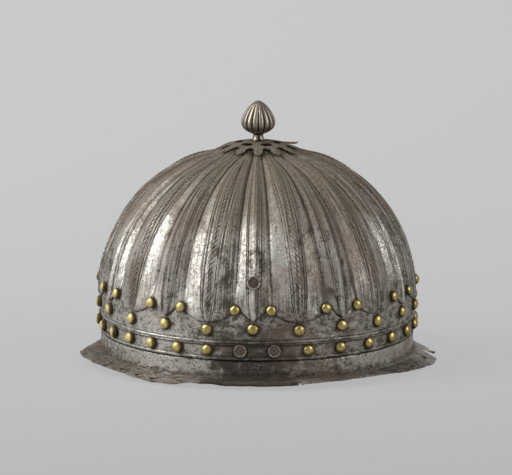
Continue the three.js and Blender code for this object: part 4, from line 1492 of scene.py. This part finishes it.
class HELMET_OT_plain_rivets(bpy.types.Operator):
    """The rivets without caps, and the plug in the front flute"""

    bl_idname = "helmet.plain_rivets"
    bl_label = "Plain Rivets and Plug"

    def execute(self, context):
        rivets, skull = settings().rivets, settings().skull
        for index, azimuth in enumerate(band_azimuths()[:BARE_COUNT]):
            number = f"{index + 1:02d}"
            add_plain_head(
                f"plain_head_{number}", azimuth, BAND_HEIGHT, rivets.plain_radius,
                BAND_CAP[1], BAND_STACK + BAND_REACH, 31 + index, [f"band_rivet_{number}"],
            )  # fmt: skip
        proud = skull.flute_proud + skull.ridge_height
        add_plain_head(
            "plug_head", FRONT_FLUTE_TURN, PLUG_HEIGHT, rivets.plug_radius,
            0.9 * proud, proud + skull.sheet + PLUG_REACH, 35, ["flute_plug"], PLUG_SKIRT,
        )  # fmt: skip
        return {"FINISHED"}


# The crown's rosette and finial

LEAF_COUNT = 12
LEAF_KNOTS = ((-1, 0.65), (-0.82, 0.66), (-0.6, 0.69), (-0.46, 0.735), (-0.53, 0.79),
              (-0.46, 0.85), (-0.34, 0.91), (-0.15, 0.965), (0, 1.01))  # fmt: skip
SLOT_COUNT = 6
FIRST_SLOT_TURN = 25 * DEGREE
SLOT_DISTANCE = 13 * MM
SLOT_HALF = (4.1 * MM, 3.2 * MM)
BENT_LEAF = 4
BENT_LIFT = 4.2 * MM
BENT_TURN = -9 * DEGREE
MOST_LEAF_LIFT = 1.3 * MM
MIDRIB_HEIGHT = 0.3 * MM
MIDRIB_WIDTH = 0.9 * MM
BOSS_HEIGHT = 0.35 * MM
BOSS_ENDS = (5.4 * MM, 7 * MM)
NET_PITCH = 1 * MM
SEAT_GAP = 0.35 * MM


def leaf_tip_height():
    """The height at which the leaves' tips rest on the beaten crown."""
    radius, level, _, _ = side_view(0.0, climb_at_radius(settings().crown.rosette_radius))
    skull = settings().skull
    relief = relief_fade(radius) * (skull.flute_proud + skull.ridge_height)
    return float(level + relief) + SEAT_GAP


def hub_top():
    """The top of the rosette in its middle: the leaves' tips, its rise and its sheet."""
    crown = settings().crown
    return leaf_tip_height() + crown.rosette_rise + crown.rosette_sheet


def rosette_loops():
    """The plate's outline and its holes as flat loops: leaves from knots on a half leaf, which the
    other half mirrors, a round bore, and oval slots between hub and leaves."""
    radius = settings().crown.rosette_radius
    half_turn = math.pi / LEAF_COUNT
    half_leaf = flowing(LEAF_KNOTS, np.linspace(0, 1, 19))
    mirrored = half_leaf[-2:0:-1] * (-1, 1)
    leaf = np.concatenate([half_leaf, mirrored])
    middles = even_azimuths(LEAF_COUNT)
    azimuth = (middles[:, None] + leaf[None, :, 0] * half_turn).ravel()
    reach = np.tile(leaf[:, 1], LEAF_COUNT) * radius
    outline = around(reach, azimuth, 0.0)[:, :2]
    bore = around(BORE_RADIUS, even_azimuths(24), 0.0)[:, :2]
    turn = even_azimuths(22)
    slots = []
    for azimuth in even_azimuths(SLOT_COUNT, FIRST_SLOT_TURN):
        bend = SLOT_HALF[0] * np.sin(turn) / SLOT_DISTANCE
        reach = SLOT_DISTANCE + SLOT_HALF[1] * np.cos(turn)
        slots.append(around(reach, azimuth + bend, 0.0)[:, :2])
    return outline, [bore] + slots


def inside_loop(points, loop):
    """Which points a closed loop goes round, by counting the sides that a ray to +X crosses."""
    x, y = points[:, 0][:, None], points[:, 1][:, None]
    x1, y1 = loop[:, 0][None, :], loop[:, 1][None, :]
    x2, y2 = np.roll(loop, -1, axis=0).T[:, None, :]
    crosses = (y1 > y) != (y2 > y)
    slope = np.where(np.abs(y2 - y1) > 0, y2 - y1, 1)
    return (crosses & (x < (x2 - x1) * (y - y1) / slope + x1)).sum(axis=1) % 2 == 1


def rosette_plate():
    """The flat cut plate as triangles: a fine net of points inside the outline, joined with the
    loops by a Delaunay net, less the triangles in the holes."""
    outline, holes = rosette_loops()
    radius = settings().crown.rosette_radius
    steps = np.arange(-radius, radius + NET_PITCH, NET_PITCH)
    x, y = np.meshgrid(steps, steps)
    x = x + (np.arange(len(steps)) % 2)[:, None] * NET_PITCH / 2
    net = np.stack([x.ravel(), y.ravel()], axis=-1)
    net = net[inside_loop(net, outline)]
    loops = [outline] + holes
    border = np.concatenate(loops)
    gap = np.linalg.norm(net[:, None, :] - border[None, :, :], axis=-1).min(axis=1)
    net = net[gap > 0.45 * MM]
    edges, first = [], 0
    for loop in loops:
        numbers = np.arange(first, first + len(loop))
        edges += np.stack([numbers, np.roll(numbers, -1)], axis=-1).tolist()
        first += len(loop)
    flat = [Vector(point) for point in np.concatenate([border, net]).tolist()]
    corners, _, triangles, *_ = delaunay_2d_cdt(flat, edges, [], 0, 1e-7)
    corners = np.array([tuple(corner) for corner in corners])
    triangles = np.array(triangles)
    centres = corners[triangles].mean(axis=1)
    kept = inside_loop(centres, outline)
    for hole in holes:
        kept &= ~inside_loop(centres, hole)
    triangles = triangles[kept]
    a, b, c = (corners[triangles[:, corner]] for corner in range(3))
    area = (b[:, 0] - a[:, 0]) * (c[:, 1] - a[:, 1]) - (b[:, 1] - a[:, 1]) * (c[:, 0] - a[:, 0])
    triangles[area < 0] = triangles[area < 0][:, ::-1]
    return corners, triangles


def domed(corners):
    """Lifts the plate over the crown by rise times 1 - (r/R)^3. Each leaf is bent by its own small
    amount, times the square of the way along it, and one is bent well up and sideways. A midrib
    runs along each leaf, as a bell curve across."""
    crown = settings().crown
    radius = np.hypot(corners[:, 0], corners[:, 1])
    azimuth = azimuth_of(corners)
    leaf = np.round(azimuth / (FULL_TURN / LEAF_COUNT)).astype(int) % LEAF_COUNT
    from_middle = wrapped(azimuth - leaf * FULL_TURN / LEAF_COUNT)
    along = np.clip((radius / crown.rosette_radius - 0.64) / 0.36, 0, 1)
    lifts = np.random.default_rng(41).uniform(0.0, 1.0, LEAF_COUNT) * MOST_LEAF_LIFT
    lifts[BENT_LEAF] = BENT_LIFT
    midrib = np.exp(-((from_middle * radius / MIDRIB_WIDTH) ** 2)) * np.clip(along * 3, 0, 1)
    boss = 1 - smooth_step(radius, *BOSS_ENDS)
    height = leaf_tip_height() + crown.rosette_sheet + lifts[leaf] * along**2
    height += crown.rosette_rise * (1 - (radius / crown.rosette_radius) ** 3)
    height += MIDRIB_HEIGHT * midrib + BOSS_HEIGHT * boss
    azimuth = azimuth + np.where(leaf == BENT_LEAF, BENT_TURN, 0) * smooth_step(along, 0.1, 1)
    return around(radius, azimuth, height)


def slot_rims(points):
    """1 on the walls of the slots and 0 a little way off."""
    radius = np.hypot(points[:, 0], points[:, 1])
    from_slot = wrapped(SLOT_COUNT * (azimuth_of(points) - FIRST_SLOT_TURN)) / SLOT_COUNT
    along = from_slot * SLOT_DISTANCE / SLOT_HALF[0]
    return 1 - smooth_step(np.hypot(along, (radius - SLOT_DISTANCE) / SLOT_HALF[1]), 1.02, 1.14)


class HELMET_OT_rosette(bpy.types.Operator):
    """The pierced leaf rosette over the crown"""

    bl_idname = "helmet.rosette"
    bl_label = "Rosette"

    def execute(self, context):
        corners, triangles = rosette_plate()
        top = domed(corners)
        body, groups, _ = thickened(top, triangles, settings().crown.rosette_sheet)
        radius = np.hypot(body[:, 0], body[:, 1])
        points = leaned(body)
        groove = 0.5 * (1 - smooth_step(radius, 4.5 * MM, 7 * MM))
        groove = np.maximum(groove, 0.9 * slot_rims(body))
        add_piece(
            "rosette_plate", points, groups, "rosette_plate_iron",
            ["rosette"], iron_masks(points, groove), 42 * DEGREE,
        )  # fmt: skip
        return {"FINISHED"}


FERRULE_HEIGHT = 4.7 * MM
WASHER_SHEET = 1.5 * MM
WASHER_RADIUS = 8 * MM
BUD_SHANK_RADIUS = 2.4 * MM
RIB_DEPTH = 0.1
FERRULE_OUTLINE = (
    (4.9, 0.0), (4.95, 0.4), (4.7, 0.75), (4.35, 1.0), (4.1, 1.4), (3.8, 2.1),
    (3.55, 3.0), (3.45, 3.8), (3.6, 4.35), (3.9, 4.65), (3.9, 4.9),
)  # fmt: skip
BUD_SHARES = ((0.3, 0.0), (0.44, 0.012), (0.72, 0.09), (0.93, 0.2), (1.0, 0.33), (0.945, 0.47),
              (0.8, 0.63), (0.6, 0.78), (0.36, 0.91), (0.13, 0.985), (0.0, 1.0))  # fmt: skip


class HELMET_OT_finial(bpy.types.Operator):
    """The ferrule, the ribbed bud with its shank, and the washer under the crown"""

    bl_idname = "helmet.finial"
    bl_label = "Finial"

    def execute(self, context):
        self.add_ferrule()
        self.add_bud(hub_top() + FERRULE_HEIGHT + 2 * SEAT_GAP)
        self.add_washer()
        return {"FINISHED"}

    def add_ferrule(self):
        """A tapered sleeve, dark at both ends and, as a bell curve round it, at its front, where
        the dark stripe is painted reflection.
        """
        outline = flowing(FERRULE_OUTLINE, np.linspace(0, 1, 34)) * MM
        outline[:, 1] += hub_top() + SEAT_GAP
        bore = np.array([[BORE_RADIUS, outline[-1, 1]], [BORE_RADIUS, outline[0, 1]]])
        points, faces = bored(np.concatenate([outline, bore]), even_azimuths(48))
        height = points[:, 2] - outline[0, 1]
        groove = 0.7 * (1 - smooth_step(height, 0, 1.6 * MM))
        groove = groove + 0.8 * smooth_step(height, 4 * MM, 4.8 * MM)
        # A dark stripe of painted reflection down the front
        from_painted_reflection = azimuth_of(points) / DEGREE - 8
        masks = {"groove": groove + 0.75 * np.exp(-((from_painted_reflection / 22) ** 2))}
        add_piece(
            "bud_ferrule", leaned(points), faces,
            "silvery_brass", ["finial_ferrule"], masks, 50 * DEGREE,
        )  # fmt: skip

    def add_bud(self, bottom):
        """Ribs: the radius falls by up to a tenth in each groove, as (1 - |sin|)^1.6 of half the
        rib's turn, and less towards both ends. The shank below runs down to its clenched end."""
        crown = settings().crown
        azimuths = even_azimuths(crown.bud_ribs * 12)
        outline = flowing(BUD_SHARES, np.linspace(0, 1, 58))
        outline = outline * (crown.bud_radius, crown.bud_height) + (0, bottom)
        outline[-1, 0] = 0
        washer_low = self.washer_top() - WASHER_SHEET - SEAT_GAP
        clenched = ((0, 1.9), (2.6, 1.7), (3.9, 1.0), (4.2, 0.3), (4.0, 0))
        shank = [(radius * MM, washer_low - down * MM) for radius, down in clenched]
        shank += [(BUD_SHANK_RADIUS, washer_low), (BUD_SHANK_RADIUS, bottom)]
        profile = np.concatenate([shank, outline])
        share = np.clip((profile[:, 1] - bottom) / crown.bud_height, 0, 1)
        rib = 1 - np.abs(np.sin(azimuths * crown.bud_ribs / 2))
        ends = smooth_step(share, 0.0, 0.12) * (1 - 0.55 * smooth_step(share, 0.75, 1))
        cut = rib[None, :] ** 1.6 * ends[:, None]
        points, faces = turned(profile, azimuths, 1 - RIB_DEPTH * cut)
        groove = np.concatenate([np.clip(cut * 1.25, 0, 1)[1:-1].ravel(), [0.5, 0.15]])
        masks = {"groove": np.where(points[:, 2] < bottom + 0.6 * MM, 0.8, groove)}
        add_piece(
            "ribbed_bud", leaned(points), faces,
            "silvery_brass", ["finial_bud"], masks, 70 * DEGREE,
        )  # fmt: skip

    def washer_top(self):
        _, level, _, _ = side_view(0.0, climb_at_radius(WASHER_RADIUS))
        return float(level) - settings().skull.sheet - SEAT_GAP

    def add_washer(self):
        """A small disc with a rounded edge and a slightly wavy rim."""
        edge = [(7.4, -1.5), (7.85, -1.25), (8.0, -0.75), (7.85, -0.2), (7.4, 0)]
        loop = np.array([(2.75, -1.5)] + edge + [(2.75, 0)]) * MM + (0, self.washer_top())
        points, faces = bored(loop, even_azimuths(40))
        points[:, :2] *= 1 + 0.02 * wander(points, 9 * MM, seed=51)[:, None]
        points = leaned(points)
        masks = iron_masks(points, 0.15, inside=0.5)
        add_piece(
            "crown_disc", points, faces,
            "rusty_rivet_iron", ["crown_washer"], masks, 50 * DEGREE,
        )  # fmt: skip


# The leather strap inside

STRAP_COLUMNS = 504
STRAP_SECTION = 36
STRAP_BULGE = 0.7 * MM
STITCHES_ROUND = 126
LOST_STITCHES = 0.22
STITCH_ROW_INSET = 2.6 * MM
THREAD_RADIUS = 0.42 * MM


def strap_outside():
    """The radius of the strap's outer side, inside the collar."""
    skull, brim = settings().skull, settings().brim
    return skull.radius - skull.sheet - brim.sheet - 2 * SEAT_GAP


def strap_body():
    """A strap round the inside: its section is a rounded oblong, as |x|^n + |y|^n = 1 with n = 6,
    bulging inwards between the rivets, with edges that wander up and down."""
    lining, outer = settings().lining, strap_outside()
    azimuth, turn = even_azimuths(STRAP_COLUMNS), even_azimuths(STRAP_SECTION)
    across = np.sign(np.cos(turn)) * np.abs(np.cos(turn)) ** (1 / 3)
    up = np.sign(np.sin(turn)) * np.abs(np.sin(turn)) ** (1 / 3)
    middle = (lining.high + lining.low) / 2
    half = (lining.high - lining.low) / 2
    edge = 0.5 * MM * wander(around(outer, azimuth, 0.0), 24 * MM, seed=61)
    inward = (across < 0)[:, None] * between_rivets(azimuth)[None, :] * STRAP_BULGE
    radius = outer - lining.thickness / 2 + across[:, None] * lining.thickness / 2 - inward
    height = middle + up[:, None] * (half - 0.5 * MM + edge[None, :])
    points = around(radius, azimuth[None, :], height)
    return points, np.repeat(smooth_step(np.abs(up), 0.86, 1.0), STRAP_COLUMNS)


def stitches():
    """Stitches of the lost lining: short round rods that dive into the hide at both ends, as
    share^2 of their half length, along two rows near the strap's edges. Some are missing."""
    lining, outer = settings().lining, strap_outside()
    dice = np.random.default_rng(62)
    turn = even_azimuths(6)
    share = np.linspace(-1, 1, 6)
    thread = THREAD_RADIUS * np.sqrt(np.clip(1.04 - share**2, 0.05, 1))
    bodies, faces, first = [], [], 0
    side = grid_faces(len(share), len(turn))
    for height in (lining.high - STITCH_ROW_INSET, lining.low + STITCH_ROW_INSET):
        for azimuth in even_azimuths(STITCHES_ROUND):
            if dice.uniform() < LOST_STITCHES:
                continue
            reach = lining.stitch_length * dice.uniform(0.75, 1.1) / 2
            slant = dice.normal() * 0.12
            inner = outer - lining.thickness - STRAP_BULGE * between_rivets(azimuth)
            along = azimuth + share * reach / inner
            radius = inner + 0.5 * MM * share**2 + thread[:, None] * np.cos(turn)
            level = height + slant * share[:, None] * reach + thread[:, None] * np.sin(turn)
            bodies.append(around(radius, along[:, None], level).reshape(-1, 3))
            faces.append(side[:, ::-1] + first)
            ring = np.arange(len(turn)) + first
            faces.append(ring[None, :])
            faces.append((ring + len(turn) * (len(share) - 1))[None, ::-1])
            first += len(share) * len(turn)
    quads = np.concatenate([group for group in faces if group.shape[1] == 4])
    caps = np.concatenate([group for group in faces if group.shape[1] == 6])
    return np.concatenate(bodies), [quads, caps]


class HELMET_OT_lining(bpy.types.Operator):
    """The leather strap inside the collar, with what is left of its stitches"""

    bl_idname = "helmet.lining"
    bl_label = "Leather Strap"

    def execute(self, context):
        points, groove = strap_body()
        faces = [grid_faces(STRAP_SECTION, STRAP_COLUMNS, closed_rows=True)]
        add_piece(
            "leather_strap", leaned(points.reshape(-1, 3)), faces,
            "strap_hide", ["lining_band"], {"groove": groove},
        )  # fmt: skip
        bodies, groups = stitches()
        add_piece("strap_stitches", leaned(bodies), groups, "linen_thread")
        return {"FINISHED"}


# The stage

IMAGE_WIDTH = 512
FOCAL_PIXELS = 3600
SENSOR_WIDTH = 36
AIM_PIXELS = (1.7, 88.8)
ROLL = 0.3 * DEGREE
# Each lamp's place and its width and height, in metres
KEY_LAMP = ((-1.62, -0.42, 1.4), (1.1, 2.3))
FILL_LAMP = ((1.9, -1.1, 1.2), (1.4, 1.8))
LAMPS_AIM = Vector((0, 0, 0.08))
FLOOR_REACH = 30.0
GLOW_SHARE = 0.85
SKY_TONE = 0.5
SKY_STRENGTH = 0.56


class HELMET_OT_stage(bpy.types.Operator):
    """A pale floor, soft studio light and the camera"""

    bl_idname = "helmet.stage"
    bl_label = "Stage"

    def execute(self, context):
        self.add_floor()
        self.add_light("key_light", *KEY_LAMP, settings().stage.key_power)
        self.add_light("fill_light", *FILL_LAMP, settings().stage.fill_power)
        self.add_world()
        self.add_camera()
        context.scene.view_settings.view_transform = "Standard"
        return {"FINISHED"}

    def add_floor(self):
        """A wide flat floor that the camera sees at its own tone, under the object's shadow: it
        pales with the distance, as 0.386 to the power of the metres, and darkens to the right."""
        signs = ((-1, -1, 0), (1, -1, 0), (1, 1, 0), (-1, 1, 0))
        mesh = bpy.data.meshes.new("floor")
        mesh.from_pydata([Vector(sign) * FLOOR_REACH for sign in signs], [], [(0, 1, 2, 3)])
        floor = new_object("floor", mesh)
        paint = Finish("floor_paint")
        tone = opaque(settings().stage.backdrop)
        diffuse = paint.node("ShaderNodeBsdfDiffuse", None, {"Color": tone})
        here = paint.here()
        across = paint.within(paint.part_of(here, 0), -1, 1)
        back = paint.within(paint.part_of(here, 1), -0.6, 9)
        nearness = paint.node("ShaderNodeMath", {"operation": "POWER"}, {0: 0.386, 1: back + 0.35})
        brightness = 0.655 - 0.167 * nearness - 0.041 * across
        glow = paint.node("ShaderNodeEmission", None, {"Color": brightness, "Strength": 1.0})
        seen = paint.node("ShaderNodeLightPath", output="Is Camera Ray")
        layers = {0: seen * GLOW_SHARE, 1: diffuse, 2: glow}
        mesh.materials.append(paint.ended(paint.node("ShaderNodeMixShader", None, layers)))

    def add_light(self, name, place, size, power):
        lamp = bpy.data.lights.new(name, "AREA")
        lamp.shape = "RECTANGLE"
        lamp.size, lamp.size_y = size
        lamp.energy = power
        light = new_object(name, lamp)
        light.location = place
        aim = LAMPS_AIM - Vector(place)
        light.rotation_euler = aim.to_track_quat("-Z", "Y").to_euler()
        light.visible_camera = False

    def add_world(self):
        world = bpy.data.worlds.new("studio")
        bpy.context.scene.world = world
        world.use_nodes = True
        tree = world.node_tree
        tree.nodes.clear()
        sky = tree.nodes.new("ShaderNodeBackground")
        sky.inputs["Color"].default_value = (SKY_TONE, SKY_TONE, SKY_TONE, 1)
        sky.inputs["Strength"].default_value = SKY_STRENGTH
        end = tree.nodes.new("ShaderNodeOutputWorld")
        tree.links.new(sky.outputs[0], end.inputs["Surface"])

    def add_camera(self):
        """The camera looks at the skull's seat from the given height, and is then turned so that
        this point falls where the photograph has it."""
        stage, skull = settings().stage, settings().skull
        target = Vector((0, 0, skull.seat_height))
        away = Vector((0, -math.cos(stage.elevation), math.sin(stage.elevation)))
        eye = target + away * stage.distance
        right_pixels, down_pixels = AIM_PIXELS
        pitch = stage.elevation - math.atan(down_pixels / FOCAL_PIXELS)
        yaw = math.atan(right_pixels / FOCAL_PIXELS)
        upright = Matrix.Rotation(yaw, 4, "Z") @ Matrix.Rotation(math.pi / 2 - pitch, 4, "X")
        turn = upright @ Matrix.Rotation(ROLL, 4, "Z")
        lens = bpy.data.cameras.new("camera")
        lens.sensor_width = SENSOR_WIDTH
        lens.lens = FOCAL_PIXELS / IMAGE_WIDTH * SENSOR_WIDTH
        camera = new_object("camera", lens)
        camera.matrix_world = Matrix.Translation(eye) @ turn
        bpy.context.scene.camera = camera


class HELMET_PT_panel(bpy.types.Panel):
    bl_label = "Cavalry Helmet"
    bl_idname = "HELMET_PT_panel"
    bl_space_type = "VIEW_3D"
    bl_region_type = "UI"
    bl_category = "Helmet"

    def draw(self, context):
        for operator in OPERATORS:
            self.layout.operator(operator.bl_idname)
        for group in ("skull", "brim", "rivets", "crown", "lining", "finish", "stage"):
            box = self.layout.box()
            box.label(text=group.capitalize())
            part = getattr(context.scene.helmet, group)
            for name in part.bl_rna.properties.keys():
                if name not in ("rna_type", "name"):
                    box.prop(part, name)


SETTING_GROUPS = (
    SkullSettings, BrimSettings, RivetSettings, CrownSettings, LiningSettings, FinishSettings,
    StageSettings, HelmetSettings,
)  # fmt: skip
OPERATORS = (
    HELMET_OT_skull, HELMET_OT_ropes, HELMET_OT_brim, HELMET_OT_caps, HELMET_OT_plain_rivets,
    HELMET_OT_rosette, HELMET_OT_finial, HELMET_OT_lining, HELMET_OT_stage,
)  # fmt: skip


def register():
    for group in SETTING_GROUPS + OPERATORS + (HELMET_PT_panel,):
        bpy.utils.register_class(group)
    bpy.types.Scene.helmet = PointerProperty(type=HelmetSettings)


def unregister():
    del bpy.types.Scene.helmet
    for group in reversed(SETTING_GROUPS + OPERATORS + (HELMET_PT_panel,)):
        bpy.utils.unregister_class(group)


def main():
    register()
    for operator in OPERATORS:
        group, name = operator.bl_idname.split(".")
        getattr(getattr(bpy.ops, group), name)()


if __name__ == "__main__":
    main()
